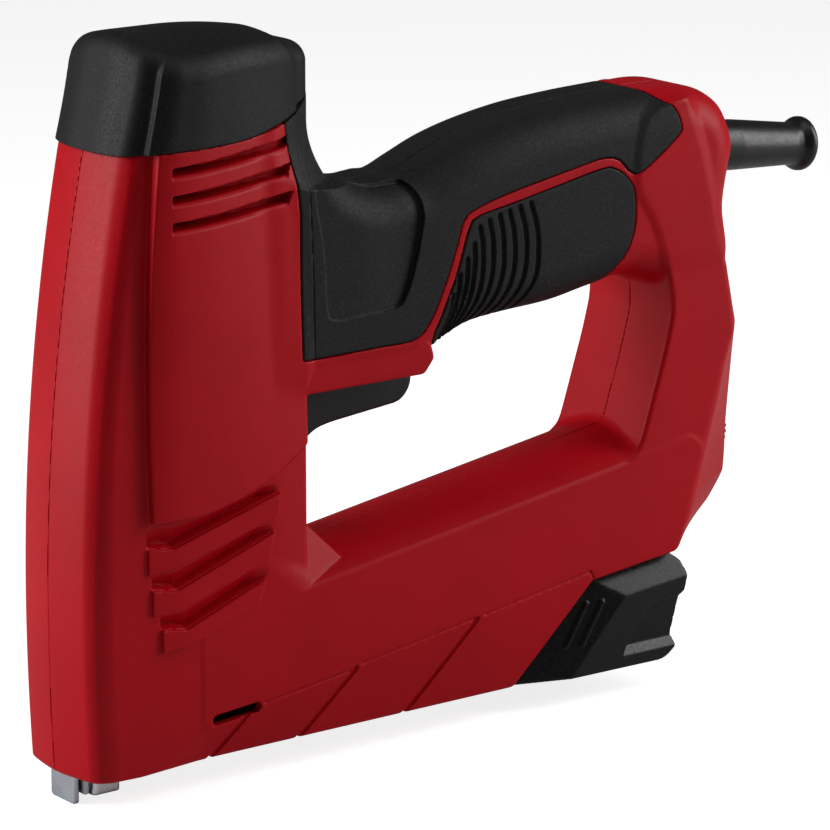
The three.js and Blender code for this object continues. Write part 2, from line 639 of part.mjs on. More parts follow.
// Round-wire compression spring with flat-cut ends.
function spring(base, axis, height, radius, wire, turns) {
  class Helix extends THREE.Curve {
    getPoint(t) {
      const angle = 2 * Math.PI * turns * t;
      return new THREE.Vector3(radius * Math.cos(angle), height * t, radius * Math.sin(angle));
    }
  }
  const options = { steps: turns * 8, extrudePath: new Helix(), bevelEnabled: false };
  const geometry = new THREE.ExtrudeGeometry(roundSection(wire, 5), options);
  const up = new THREE.Vector3(...axis);
  const turn = new THREE.Quaternion().setFromUnitVectors(new THREE.Vector3(0, 1, 0), up);
  return solid(geometry.applyQuaternion(turn).translate(...base));
}

// A wire or lead along a few points.
function lead(points, radius) {
  const path = new THREE.CatmullRomCurve3(points.map((point) => new THREE.Vector3(...point)));
  const options = { steps: points.length * 4, extrudePath: path, bevelEnabled: false };
  return solid(new THREE.ExtrudeGeometry(roundSection(radius, 6), options));
}

const COIL_LEAD_ROUTE = [[36, 11, 133], [44, 11.5, 136], [62, 10, 140], [92, 7, 142], [117.4, 5, 141]];
const SWITCH_LEAD_ROUTE = [[98, 3.5, 124], [103, 3.5, 126], [110, 3.5, 131], [117.4, 3.5, 134]];
const DIAL_LEAD_ROUTE = [
  [177, 5, 138], [185, 8.5, 130], [188.2, 9, 121], [191.5, 10, 110], [199, 12, 99], [204, 12, 88],
  [203, 12, 76],
];

const group = new THREE.Group();

function place(name, piece, material) {
  const { vertProperties, triVerts, numProp } = piece.getMesh();
  const positions = new Float32Array((vertProperties.length / numProp) * 3);
  for (let i = 0; i < positions.length / 3; i += 1) {
    positions.set(vertProperties.subarray(i * numProp, i * numProp + 3), i * 3);
  }
  const geometry = new THREE.BufferGeometry();
  geometry.setAttribute('position', new THREE.BufferAttribute(positions, 3));
  geometry.setIndex([...triVerts]);
  geometry.computeVertexNormals();
  const mesh = new THREE.Mesh(geometry, MATERIALS[material]);
  mesh.name = name;
  group.add(mesh);
}

const { left, right } = shells();
place('housing_left', left, 'red');
place('housing_right', right, 'red');
place('head_cap', headCap(), 'cap');
Object.entries(softGrips()).forEach(([name, piece]) => place(name, piece, 'soft'));
SCREWS.forEach((at, i) => place(`housing_screw_${i + 1}`, screw(at), 'steel'));

place('trigger', trigger(), 'black');
place('trigger_pin', triggerPin(), 'steel');
place('trigger_spring', spring([91, 0, 93.6], [0, 0, 1], 22.8, 3, 0.4, 6), 'steel');
place('microswitch', microswitch(), 'black');

place('control_board', controlBoard(), 'board');
place('board_capacitor', rod([128, 0.6, 140], [128, -9, 140], 5, 24), 'black');
place('board_triac', box(138, 148, -4.2, 0.6, 134, 146), 'black');
place('triac_heat_sink', heatSink(), 'zinc');
place('dial_potentiometer', dialPotentiometer(), 'board');
place('coil_lead', lead(COIL_LEAD_ROUTE, 1.1), 'copper');
place('switch_lead', lead(SWITCH_LEAD_ROUTE, 1), 'rubber');
place('dial_lead', lead(DIAL_LEAD_ROUTE, 1), 'rubber');
place('force_dial', forceDial(), 'black');

place('solenoid_yoke', yoke(), 'iron');
place('coil_bobbin', bobbin(), 'bobbin');
place('coil_winding', winding(), 'copper');
place('plunger', plunger(), 'steel');
place('return_spring', spring([SOLENOID_X, 0, YOKE_Z[1] + 1.2], [0, 0, 1], 28.6, 8.6, 0.7, 6), 'steel');
place('top_buffer', rod([SOLENOID_X, 0, 168], [SOLENOID_X, 0, 174], 8), 'rubber');
place('lower_bumper', box(5, 26, -8, 8, 24.3, 31.5), 'rubber');
place('driver_carrier', driverCarrier(), 'iron');
place('driver_blade', driverBlade(), 'steel');
place('blade_rivet', bladeRivet(), 'steel');

place('nose_block', noseBlock(), 'chrome');
place('nose_guide_plate', guidePlate(), 'steel');
place('safety_contact', safetyContact(), 'zinc');
place('safety_spring', spring([-4.9, 0, CONTACT_SEAT_Z[0] + GAP], [0, 0, 1], 7.7, 1.5, 0.3, 5), 'steel');

place('magazine_channel', channel(), 'zinc');
place('staple_strip', stapleStrip(), 'zinc');
place('slide_rail', slideRail(), 'steel');
place('staple_pusher', staplePusher(), 'black');
place('pusher_rod', pusherRod(), 'steel');
place('pusher_spring', spring([70.5, 0, 13], [1, 0, 0], 76, 2.1, 0.35, 12), 'steel');
place('magazine_slider', magazineSlider(), 'black');

place('cable_sleeve', sleevePiece(), 'rubber');
place('cable_clamp', cableClamp(), 'black');
place('clamp_screw_left', clampScrew(-9), 'steel');
place('clamp_screw_right', clampScrew(9), 'steel');

export default group;
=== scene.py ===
"""Corded electric staple gun: moulded shells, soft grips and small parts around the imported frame.

Moulded pieces are written as signed distances in millimetres (x to the rear, v = |y| from the
middle of the tool, z up, negative inside) and meshed by the surface-net routine below.
"""
import json
import math

import bpy
import numpy as np
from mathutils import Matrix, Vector


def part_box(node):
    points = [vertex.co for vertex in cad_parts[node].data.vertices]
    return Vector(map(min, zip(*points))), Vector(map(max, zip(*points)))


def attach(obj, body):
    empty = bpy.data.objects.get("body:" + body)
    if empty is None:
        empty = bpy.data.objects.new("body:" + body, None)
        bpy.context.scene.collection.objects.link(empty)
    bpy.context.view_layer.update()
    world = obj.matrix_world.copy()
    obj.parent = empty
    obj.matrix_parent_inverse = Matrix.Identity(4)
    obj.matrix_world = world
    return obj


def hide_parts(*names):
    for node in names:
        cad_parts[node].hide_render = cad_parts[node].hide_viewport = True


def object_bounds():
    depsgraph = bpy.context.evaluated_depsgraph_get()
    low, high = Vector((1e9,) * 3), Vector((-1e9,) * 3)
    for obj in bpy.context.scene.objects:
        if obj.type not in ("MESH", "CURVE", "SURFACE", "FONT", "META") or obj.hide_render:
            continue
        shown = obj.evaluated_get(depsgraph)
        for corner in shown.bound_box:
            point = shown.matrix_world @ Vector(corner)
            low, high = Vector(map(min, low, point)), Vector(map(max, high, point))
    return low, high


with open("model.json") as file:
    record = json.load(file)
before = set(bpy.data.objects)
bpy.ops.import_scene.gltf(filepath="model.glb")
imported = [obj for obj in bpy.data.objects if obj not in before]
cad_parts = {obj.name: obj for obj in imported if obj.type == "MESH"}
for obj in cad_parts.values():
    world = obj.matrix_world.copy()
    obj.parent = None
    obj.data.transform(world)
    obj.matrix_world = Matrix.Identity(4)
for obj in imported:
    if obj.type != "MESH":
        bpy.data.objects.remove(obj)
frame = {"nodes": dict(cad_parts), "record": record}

MM = 0.001
cad_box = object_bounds()


def mm_box(node):
    """Corners of a CAD node in millimetres, as numpy arrays."""
    low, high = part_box(node)
    return np.array(low) / MM, np.array(high) / MM


def mm_middle(node):
    low, high = mm_box(node)
    return (low + high) / 2


# ---------------------------------------------------------------- dimensions, in millimetres
HOUSING_LOW, HOUSING_HIGH = mm_box("housing_left")
BASE_Z = HOUSING_LOW[2]
RIM_Z = HOUSING_HIGH[2]
CAP_TOP_Z = mm_box("head_cap")[1][2]
HALF_WIDTH = 19.0  # flat side panels
WALL = 2.6         # moulded shell
SKIN = 2.2         # soft grips
SEAM = 0.07        # half the gap between the two halves
SPLIT = 0.28       # gap around the soft grips
GRIP_RISE = 0.12   # the grips stand this far out of the shell
BORE_AT = [mm_middle(f"housing_screw_{i}")[[0, 2]] for i in range(1, 9)]
DIAL_AT = mm_middle("force_dial")
SLEEVE_ROOT = np.array([200.8, 0.0, 148.6])
SLEEVE_TIP = np.array([248.3, 0.0, 143.9])
SLEEVE_LENGTH = np.linalg.norm(SLEEVE_TIP - SLEEVE_ROOT)
SLEEVE_AXIS = (SLEEVE_TIP - SLEEVE_ROOT) / SLEEVE_LENGTH
TRIGGER_PIVOT = (68.5, 107.5)
TRIGGER_WELL = (61.2, 104.4)  # front and rear of the well in the housing
SMALL_PITCH = 0.4             # sampling of the thin metal parts
FINE, COARSE = 0.5, 0.9
PITCH = FINE
SIDES = (("left", -1), ("right", 1))


# ---------------------------------------------------------------- distance fields
def both(a, b, r=0.0):
    """Intersection with its edge rounded to radius r."""
    if r <= 0:
        return np.maximum(a, b)
    return np.minimum(np.maximum(a, b), -r) + np.hypot(np.maximum(a + r, 0), np.maximum(b + r, 0))


def either(a, b, r=0.0):
    """Union with its corner filled to radius r."""
    return -both(-a, -b, r)


def ramp(value, start, end):
    """Smooth step from 0 at start to 1 at end."""
    t = np.clip((value - start) / (end - start), 0, 1)
    return t * t * (3 - 2 * t)


def over(value, width=1.0):
    """max(value, 0) with its corner softened over width."""
    return 0.5 * (value + np.sqrt(value * value + width * width))


def facet(x, v, p, q):
    """Signed distance to the line from p to q in plan, inside towards the middle."""
    dx, dv = q[0] - p[0], q[1] - p[1]
    return (dx * (v - p[1]) - dv * (x - p[0])) / np.hypot(dx, dv)


def to_segments(x, z, points):
    """Distance in the side view to a chain of points."""
    best = None
    for (ax, az), (bx, bz) in zip(points, points[1:]):
        ex, ez = bx - ax, bz - az
        t = np.clip(((x - ax) * ex + (z - az) * ez) / (ex * ex + ez * ez), 0, 1)
        d = (x - ax - t * ex) ** 2 + (z - az - t * ez) ** 2
        best = d if best is None else np.minimum(best, d)
    return np.sqrt(best)


def spline(points, steps=6, closed=False):
    """Catmull-Rom curve through the points."""
    p = [np.array(a, float) for a in points]
    n = len(p)
    out = []
    for i in range(n if closed else n - 1):
        a = p[(i - 1) % n] if closed or i else 2 * p[0] - p[1]
        b, c = p[i], p[(i + 1) % n]
        d = p[(i + 2) % n] if closed or i + 2 < n else 2 * p[-1] - p[-2]
        for s in range(steps):
            t = s / steps
            out.append(tuple(0.5 * (2 * b + (c - a) * t + (2 * a - 5 * b + 4 * c - d) * t * t
                                    + (3 * b - a - 3 * c + d) * t ** 3)))
    if not closed:
        out.append(tuple(p[-1]))
    return out


def rounded(corners, steps=5):
    """Closed outline of straight sides from [x, z, corner radius]."""
    out = []
    n = len(corners)
    for i, (x, z, r) in enumerate(corners):
        here = np.array([x, z], float)
        before = np.array(corners[i - 1][:2], float) - here
        after = np.array(corners[(i + 1) % n][:2], float) - here
        reach = min(r, 0.48 * np.linalg.norm(before), 0.48 * np.linalg.norm(after))
        a = here + before / np.linalg.norm(before) * reach
        b = here + after / np.linalg.norm(after) * reach
        if r <= 0:
            out.append((x, z))
            continue
        for s in range(steps + 1):
            t = s / steps
            out.append(tuple((1 - t) ** 2 * a + 2 * t * (1 - t) * here + t * t * b))
    return out


class Chart:
    """Signed distance to a closed outline in a plane, kept on a grid and read by cubic interpolation."""

    PITCH = 0.5
    MARGIN = 9.0

    def __init__(self, outline):
        points = np.array(outline, float)
        self.low = points.min(0) - self.MARGIN
        size = points.max(0) + self.MARGIN - self.low
        counts = np.ceil(size / self.PITCH).astype(int) + 1
        u = (self.low[0] + self.PITCH * np.arange(counts[0]))[:, None]
        w = (self.low[1] + self.PITCH * np.arange(counts[1]))[None, :]
        near = np.full(counts, 1e9)
        inside = np.zeros(counts, bool)
        for (ax, az), (bx, bz) in zip(points, np.roll(points, -1, 0)):
            ex, ez = bx - ax, bz - az
            t = np.clip(((u - ax) * ex + (w - az) * ez) / max(ex * ex + ez * ez, 1e-12), 0, 1)
            near = np.minimum(near, (u - ax - t * ex) ** 2 + (w - az - t * ez) ** 2)
            if az != bz:
                crosses = ((az > w) != (bz > w)) & (u < (bx - ax) * (w - az) / (bz - az) + ax)
                inside ^= crosses
        self.values = np.sqrt(near) * np.where(inside, -1, 1)
        self.counts = counts

    def __call__(self, u, w):
        gu = (u - self.low[0]) / self.PITCH
        gw = (w - self.low[1]) / self.PITCH
        cu = np.clip(gu, 1.0, self.counts[0] - 3.001)
        cw = np.clip(gw, 1.0, self.counts[1] - 3.001)
        beyond = np.hypot(gu - cu, gw - cw) * self.PITCH
        iu, iw = np.floor(cu).astype(int), np.floor(cw).astype(int)
        weights_u, weights_w = self.weights(cu - iu), self.weights(cw - iw)
        total = 0.0
        for a in range(4):
            for b in range(4):
                total = total + weights_u[a] * weights_w[b] * self.values[iu + a - 1, iw + b - 1]
        return total + beyond

    @staticmethod
    def weights(t):
        return (0.5 * (-t ** 3 + 2 * t * t - t), 0.5 * (3 * t ** 3 - 5 * t * t + 2),
                0.5 * (-3 * t ** 3 + 4 * t * t + t), 0.5 * (t ** 3 - t * t))


def local(f, x, v, z, room, change):
    """Applies change(f, x, v, z) to the blocks that reach into room = (x0, x1, v0, v1, z0, z1)."""
    def span(a):
        flat = a.reshape(a.shape[0], -1)
        return flat.min(1), flat.max(1)
    (xa, xb), (va, vb), (za, zb) = span(x), span(v), span(z)
    x0, x1, v0, v1, z0, z1 = room
    hit = (xb > x0) & (xa < x1) & (vb > v0) & (va < v1) & (zb > z0) & (za < z1)
    if hit.any():
        f[hit] = change(f[hit], x[hit], v[hit], z[hit])
    return f


def combine(f, x, v, z, room, how, shape, radius):
    """Joins or intersects a shape with f, inside a room."""
    return local(f, x, v, z, room, lambda f, x, v, z: how(f, shape(x, v, z), radius))


# ---------------------------------------------------------------- the housing's outside
HANDLE = Chart(spline([
    (44, 101), (70, 101), (96, 101), (103, 103.5), (110, 108), (118, 111), (130, 112.3), (146, 113.2),
    (160, 115.5), (172, 117), (182, 114), (196, 112), (209, 119), (208.5, 134), (211, 150), (208, 160),
    (202.5, 165.2), (195, 167.8), (185, 168.2), (172, 167.8), (160, 167.2), (145, 165.9), (130, 163.4),
    (118, 160.3), (108, 156.4), (100, 153.3), (94, 153.4), (88, 152.9), (83, 153.6), (78.4, 155.6),
    (75.2, 159.4), (73.9, 165), (73.4, 171), (73.2, 182), (60, 186), (44, 184), (43, 140)], closed=True))
BEAM = Chart(rounded([
    (26, 0, 0), (26, 90, 0), (176, 90, 0), (199, 62, 0), (214.2, 66, 4), (214, 54.5, 4), (208.2, 45, 7),
    (199, 38.1, 3), (188, 36.6, 0.5), (157.4, 33.2, 0.5), (131.4, 5.9, 0), (120, 0, 0)]))
COLUMN = Chart(spline([
    (171, 62), (174.6, 71.2), (179, 84.5), (183.2, 98), (185, 108), (182.5, 121), (178, 133), (172, 144),
    (174, 160), (186, 166), (196, 165), (203, 158), (206, 146), (208, 133), (211, 121), (214.5, 110),
    (218.2, 101), (219, 97), (217.2, 88), (215.8, 76), (215, 64), (214, 53), (209.5, 46.5), (203, 42.5),
    (197, 38.5), (186, 42)], closed=True))
PANEL_REAR = np.array([  # rear edge of the side panel
    (186.8, 34.8), (191.7, 46), (196.6, 63.4), (201.1, 77.8), (204.2, 89.2), (207.5, 98.3), (206.5, 106),
    (204.3, 116.7), (200.9, 129.4), (198.1, 139.1), (194.7, 151.1), (190.8, 161.7), (188.5, 168)])
BACK = np.array([  # edge of the flat middle strip of the back
    (196.6, 34), (211.7, 46), (218.6, 54), (218.8, 70), (220, 97), (216.7, 110), (210, 134), (206, 160)])
BACK_HALF = 5.0
BACK_ROOM = (184, 230, -1, 40, 24, 176)


def front_x(z):
    """Front of the head in the side view: upright below, leaning back above."""
    return -10 + 13.5 * (np.maximum(z - 45, 0) / 126) ** 2 + 1.1 * (np.maximum(45 - z, 0) / 39) ** 2


def strip_z(x):
    """Line above which the side panel is upright and below which it leans in."""
    return np.minimum(BASE_Z + 0.4 * np.maximum(x, 0.3), 20.1 + 0.15 * (x - 49.3))


def panel(x, v, z):
    """Side panel: upright above the strip's line, leaning in below it."""
    top = strip_z(x)
    slope = np.clip(3.3 / np.maximum(top - BASE_Z, 1), 0, 0.3)
    leaning = (v - HALF_WIDTH + slope * (top - z)) / np.sqrt(1 + slope * slope)
    return both(v - HALF_WIDTH, leaning, 0.4)


def side_start(z):
    """Where the flat side panel starts behind the faceted front."""
    return np.where(z > 66, 17.2 - 0.074 * (z - 66), 17.2 + 0.055 * (66 - z))


def head(x, v, z):
    """Tall front body with three facets on each front corner."""
    fx = front_x(z)
    t = np.clip((z - BASE_Z) / (RIM_Z - BASE_Z), 0, 1.1)
    a = (0.0, 5.8 + 1.2 * t)
    b = (2.6 - 0.4 * t, 15.4)
    c = (6.3 - t, 17.6 + t)
    f = both(fx - x, facet(x - fx, v, a, b), 2.5)
    f = both(f, facet(x - fx, v, b, c), 1.5)
    f = both(f, facet(x, v, (fx + c[0], c[1]), (side_start(z), HALF_WIDTH)), 1.5)
    level = ramp(z, 97, 109)
    lean = 0.16 * (1 - level) + level * (0.2 + 4.5 * np.clip((z - 105) / 66, 0, 1.2)) / 9.1
    f = both(f, v - HALF_WIDTH + lean * over(x - 49.5, 1.5), 0.4)
    return both(f, x - 61.4, 2.0)


def bulge_edge(x):
    """Height of the bulge's lower edge."""
    return 74.7 + 0.0072 * np.maximum(x - 18, 0) ** 2


def bulge(x, v, z):
    """Swelling of the side around the solenoid, widest at the top."""
    t = np.clip((z - 75) / 96, 0, 1.15)
    back, ahead = np.maximum(x - 18, 0), np.maximum(18 - x, 0)
    width_low = 21.6 - 0.0052 * back ** 1.7 - 0.012 * ahead ** 2
    width_high = 23.25 - 0.0157 * back ** 1.7 - 0.0235 * ahead ** 2
    edge_x = 9 + 0.0007 * (z - 107) ** 2
    edge_z = bulge_edge(x)
    f = both(v - (width_low + (width_high - width_low) * t), edge_x - x, 0.45)
    f = both(f, edge_z - z, 0.6)
    return both(f, x - 61, 1.0)


def floor_of_opening(x, v, z):
    """Crowned top of the lower beam."""
    return (z - (54.7 + 0.154 * (x - 58)) + 6.3 * (v / HALF_WIDTH) ** 2) * 0.93


def beam(x, v, z):
    return both(BEAM(x, z), floor_of_opening(x, v, z), 1.6)


def panel_rear(x, v, z):
    """Bevel from the side panel's rear edge round to the middle of the back."""
    edge = np.interp(z, PANEL_REAR[:, 1], PANEL_REAR[:, 0])
    middle = np.interp(z, BACK[:, 1], BACK[:, 0])
    return facet(x, v, (edge, HALF_WIDTH), (middle, BACK_HALF))


def column(x, v, z):
    return both(COLUMN(x, z), v - HALF_WIDTH, 1.6)


def corner_facet(x, v, z):
    """Bevelled web in the opening's lower front corner."""
    along = (x - 50.4) * 0.69 + (z - 56.7) * 0.724
    f = both((v - HALF_WIDTH + 0.352 * along) / 1.06, along - 14.4, 0.8)
    return both(both(f, 40 - x), 40 - z)


CAP_PLAN = Chart(rounded([
    (3.2, -8, 0), (3.2, 8, 4), (5.6, 16.6, 3), (9.6, 19.2, 0.5), (9.4, 21.4, 0.4), (14.4, 23.15, 3),
    (25, 23, 4), (37, 21, 4), (48, 18.2, 4), (56, 15.4, 3), (62.4, 12.2, 3.5), (67.6, 8, 4), (70.6, 3.5, 3),
    (71.2, 0, 3), (70.6, -3.5, 3), (60, -8, 0)], 6))


def handle(x, v, z):
    """Handle and neck; just below the cap the neck has the cap's outline."""
    f = both(HANDLE(x, z), v - 18.5, 11.0)

    def shoulder(f, x, v, z):
        drop = np.maximum(172 - z, 0)
        growth = 0.02 * drop ** 2 + 2 * np.maximum(drop - 15.5, 0) ** 2
        return both(f, CAP_PLAN(x, v) - growth, 1.5)
    return local(f, x, v, z, (40, 90, -1, 40, 145, 210), shoulder)


def trigger_band(x, v, z):
    """Red band above the trigger."""
    return both(BAND(x, z), v - 17.9, 0.9)


BAND = Chart(rounded([
    (50, 100.9, 0), (99.4, 100.9, 1.2), (102.7, 105, 1.0), (101.4, 109.6, 1.5), (96, 112, 2), (50, 112, 0)]))


def along_sleeve(x, v, z):
    """Distance along the cable sleeve from its root, and distance from its axis."""
    a = (x - SLEEVE_ROOT[0]) * SLEEVE_AXIS[0] + (z - SLEEVE_ROOT[2]) * SLEEVE_AXIS[2]
    px = x - SLEEVE_ROOT[0] - a * SLEEVE_AXIS[0]
    pz = z - SLEEVE_ROOT[2] - a * SLEEVE_AXIS[2]
    return a, np.sqrt(px * px + v * v + pz * pz)


def collar(x, v, z):
    """Conical collar from which the cable sleeve leaves."""
    a, r = along_sleeve(x, v, z)
    f = both(r - 13.7, a - 14, 2.5)
    f = both(f, facet(a, r, (6, 13.9), (14, 8.9)), 3.0)
    return both(f, -a - 8)


def lines_between(x, low, high):
    """Height at x of a line through two [x, z] points."""
    return low[1] + (high[1] - low[1]) * (x - low[0]) / (high[0] - low[0])


RIBS = [  # corner of the top edge, its rear end, corner of the lower edge, its rear end
    ((16.5, 66.8), (50.2, 76.5), (16.6, 61.6), (49.7, 70.6)),
    ((17.8, 55.5), (48.3, 66.0), (18.6, 50.4), (46.5, 59.2)),
    ((20.5, 44.4), (45.4, 53.8), (21.0, 39.9), (42.9, 47.1)),
]
RIB_FACE = 20.0
GILL_DEPTH = 3.2


def wrapped_front(x, v, z):
    """Front part of the side, which leans in ahead of the flat panel."""
    return facet(x, v, (front_x(z) + 6.0, 17.3), (side_start(z), HALF_WIDTH))


def gills(f, x, v, z):
    """Three stepped louvre ribs, each above a sloping recess."""
    for i, (top_a, top_b, low_a, low_b) in enumerate(RIBS):
        slant = top_a[0] - 7.6
        x_fold = np.minimum(x, top_a[0])
        top = lines_between(np.maximum(x, top_a[0]), top_a, top_b) + 0.14 * (top_a[0] - x_fold)
        low = lines_between(np.maximum(x, low_a[0]), low_a, low_b) - 0.1 * (top_a[0] - x_fold)
        rear = lines_between(z, (top_b[1], top_b[0]), (low_b[1], low_b[0]))
        if i == 0:
            above = bulge_edge(x) - 0.4
        else:
            above = lines_between(np.maximum(x, RIBS[i - 1][2][0]), RIBS[i - 1][2], RIBS[i - 1][3])
            above = above - 0.1 * np.maximum(RIBS[i - 1][0][0] - x, 0)
        root = top + 0.8
        share = np.clip((above - z) / np.maximum(above - root, 1.2), -0.5, 1.3)
        depth = GILL_DEPTH - 0.3 * np.maximum(13 - x, 0) - 0.5 * np.maximum(x - rear + 6, 0)
        skin = HALF_WIDTH - np.maximum(wrapped_front(x, HALF_WIDTH, z), 0)
        slope_face = skin + 0.5 - (depth + 0.5) * share
        ledge = z - top - 0.24 * (RIB_FACE - v)
        void = both(both(slope_face - v, -ledge, 0.25), z - above + 0.2, 0.2)
        void = both(void, x - rear - 1.5, 0.3)
        void = both(void, slant - x, 0.3)
        f = both(f, -void, 0.25)
        rib = both(v - RIB_FACE, wrapped_front(x, v, z) - 0.9, 0.15)
        rib = both(rib, both(z - top, low - z, 0.2), 0.3)
        rib = both(rib, x - rear - 0.6 * (RIB_FACE - v), 0.2)
        rib = both(both(rib, slant - x, 0.2), 14.5 - v)
        f = either(f, rib, 0.15)
    return f


VENTS = (167.6, 160.5, 153.4)  # heights at their front ends
VENT_X = (15.5, 56.0)
VENT_FLOOR = 15


def vents(f, x, v, z):
    """Three curved slots through the bulge, with a bevelled lower lip."""
    s = np.clip((x - VENT_X[0]) / (VENT_X[1] - VENT_X[0]), -0.1, 1.1)
    skin = f
    for z0 in VENTS:
        rise = 3.0 * np.abs(s) ** 1.5
        top, low = z0 + rise, z0 + rise - 2.3 - 0.5 * s
        ends = both(VENT_X[0] - x, x - VENT_X[1] + 0.5 * (top - z), 0.5)
        slot = both(both(z - top, low - z, 0.5), ends, 0.5)
        lip = both(both(z - top, low - 0.9 - z - 0.9 * skin, 0.3), ends, 0.5)
        f = both(f, -both(slot, VENT_FLOOR - v), 0.25)
        f = both(f, -both(lip, -skin - 1.0), 0.2)
    return f


# Grooves across the strip along the beam, and the line above it.
STRIP_GROOVES = [((42, 19.2), (29.5, 6.5)), ((75.5, 23.6), (57, 5.2)), ((116.5, 29.8), (92.5, 5.2))]
STRIP_LINES = [((45.5, 19.5), (73.2, 23.1)), ((77.5, 24.4), (115.2, 30.0)), ((119.2, 30.5), (156.2, 36.2))]
STRIP_END = [(156.2, 36.2), (157.6, 33.9)]
THUMB = Chart(spline([
    (82.4, 159.2), (89, 160.4), (94.3, 158.1), (97.8, 152.3), (98.7, 145.7), (96, 132.2), (92.5, 123.2),
    (88.9, 120.4), (79, 120.1), (69.6, 119.9), (66.6, 123.2), (65.4, 139.8), (62.9, 154.4), (64, 164),
    (72, 166)], closed=True))
UPPER_GRIP = Chart(spline([
    (58.2, 118), (58.2, 113), (58.5, 110.7), (60.5, 110.3), (70, 110.3), (84, 110.5), (95.5, 110.9),
    (100.8, 115.3), (105.8, 124.9), (109.4, 134), (112, 141.3), (116.5, 144), (128.4, 147), (151.5, 151.2),
    (160, 152.5), (165.2, 151.4), (169, 147.9), (173.3, 147.5), (185.6, 155.8), (187, 159.4), (184.5, 164.2),
    (179.6, 169.2), (176, 180), (120, 196), (58.4, 196), (58.1, 150), (58.1, 130)], 5, closed=True))
NECK_LINE = [(62.4, 110), (62.2, 130), (61.4, 150), (60.4, 172)]
PAD = Chart(spline([
    (116.6, 142.0), (129, 144.3), (142.2, 146.8), (159, 149.9), (163.9, 149.5), (168.3, 146.6),
    (171.2, 141.7), (171.2, 132), (168.5, 125), (165, 119), (161, 108), (140, 96), (114, 94), (106.5, 101),
    (103.4, 106.5), (102.2, 111.2), (105.5, 119), (109.4, 127.4), (113.2, 138.6)], 5, closed=True))
PAD_GROOVES = [spline(line, 5) for line in (
    [(134.5, 143.4), (136.9, 135), (136.5, 123.9), (131.5, 114)],
    [(130.8, 142.8), (132.9, 135), (132.4, 124.5), (127, 113)],
    [(127.2, 142.1), (128.9, 134.6), (128.4, 124.5), (122.6, 112)],
    [(123.9, 141.4), (125.2, 134), (124.5, 124), (118.4, 110.6)],
    [(120.4, 140.4), (121.6, 133.4), (120.8, 123.6), (114.6, 109)],
    [(117.2, 139.0), (118.2, 132.6), (117.3, 122.6), (111.2, 107.4)],
    [(115.3, 134.6), (115.4, 128.6), (113.6, 119.6), (108.2, 105.4)],
    [(113.0, 130.8), (112.7, 124.8), (110.4, 116.4), (105.6, 103.6)],
    [(110.5, 126.8), (109.8, 121.2), (107.6, 113.8), (103.6, 102)],
    [(108.3, 121.4), (107.2, 116.6), (104.9, 110.4), (101.5, 100.4)],
)]


def channel(f, x, z, line, radius):
    """Cuts a round-bottomed groove into the surface along a line in the side view."""
    return both(f, radius - np.hypot(to_segments(x, z, line), f), 0.12)


def surface_lines(f, x, v, z):
    for line in STRIP_GROOVES:
        f = channel(f, x, z, line, 0.8)
    for line in (*STRIP_LINES, STRIP_END):
        f = channel(f, x, z, line, 0.42)
    return f


def slot_by_strip(f, x, v, z):
    """Slot near the strip's front end."""
    slot = to_segments(x, z, [(30.2, 17.6), (42.8, 18.7)]) - 1.5
    return both(f, -both(slot, 14 - v), 0.4)


def thumb_rest(f, x, v, z):
    """Sunken thumb rest, deepest along its rear edge."""
    depth = 0.28 + 1.15 * ramp(x, 76, 97)
    area = both(THUMB(x, z), 9 - v, 1.5)
    return both(f, -both(area, -f - depth, 0.35), 0.2)


def outside(x, v, z):
    """Outer surface of the whole housing, grips and neck, without openings."""
    f = either(head(x, v, z), beam(x, v, z), 1.5)
    f = combine(f, x, v, z, (36, 84, -1, 40, 36, 84), either, corner_facet, 0.3)
    f = combine(f, x, v, z, (160, 230, -1, 40, 24, 176), either, column, 2.0)
    f = combine(f, x, v, z, BACK_ROOM, both, panel_rear, 1.2)
    f = both(both(f, panel(x, v, z), 0.9), BASE_Z - z, 1.0)
    f = combine(f, x, v, z, (36, 230, -1, 40, 92, 210), either, handle, 2.2)
    f = combine(f, x, v, z, (180, 230, -1, 40, 125, 176), either, collar, 1.4)
    f = combine(f, x, v, z, (46, 110, -1, 40, 94, 118), either, trigger_band, 0.3)
    return combine(f, x, v, z, (2, 66, 15, 40, 68, 210), either, bulge, 0.7)


def behind_gills(deep, x, v, z):
    """Extra wall behind the louvres."""
    return deep + 3.8 * ramp(x, 58, 54) * ramp(x, 2, 8) * ramp(z, 34, 40) * ramp(z, 82, 77) * ramp(v, 9, 13)


def behind_vents(deep, x, v, z):
    """Extra wall behind the vents, which closes them inside."""
    return deep + 6.6 * ramp(x, 10, 14) * ramp(x, 61, 57) * ramp(z, 143, 149) * ramp(v, 9, 13)


def shell_top(x):
    """Height of the line where the cap meets the shell."""
    back = np.maximum(x - 30, 0)
    return 171.4 - 0.12 * np.maximum(12 - x, 0) + 0.0016 * back ** 2.3


def grip_area(x, z):
    """Outline of all the soft grips in the side view."""
    return either(UPPER_GRIP(x, z), PAD(x, z), 0)


def around(at, v0):
    """Room around a screw."""
    return at[0] - 5, at[0] + 5, v0, 40, at[1] - 5, at[1] + 5


def post(at):
    """Solid post for a screw, as a change to the hollow's field."""
    return lambda f, x, v, z: both(f, 3.5 - np.hypot(x - at[0], z - at[1]), 0.3)


def screw_bore(at):
    """Bore over a screw's head, with a slightly tapered mouth."""
    def change(f, x, v, z):
        radial = np.hypot(x - at[0], z - at[1])
        head_room = both(radial - 3.1, 11.9 - v)
        mouth = both(radial - 3.1 - np.maximum(v - 17.6, 0) * 0.25, 17 - v)
        return both(both(f, -head_room, 0.3), -mouth, 0.3)
    return change


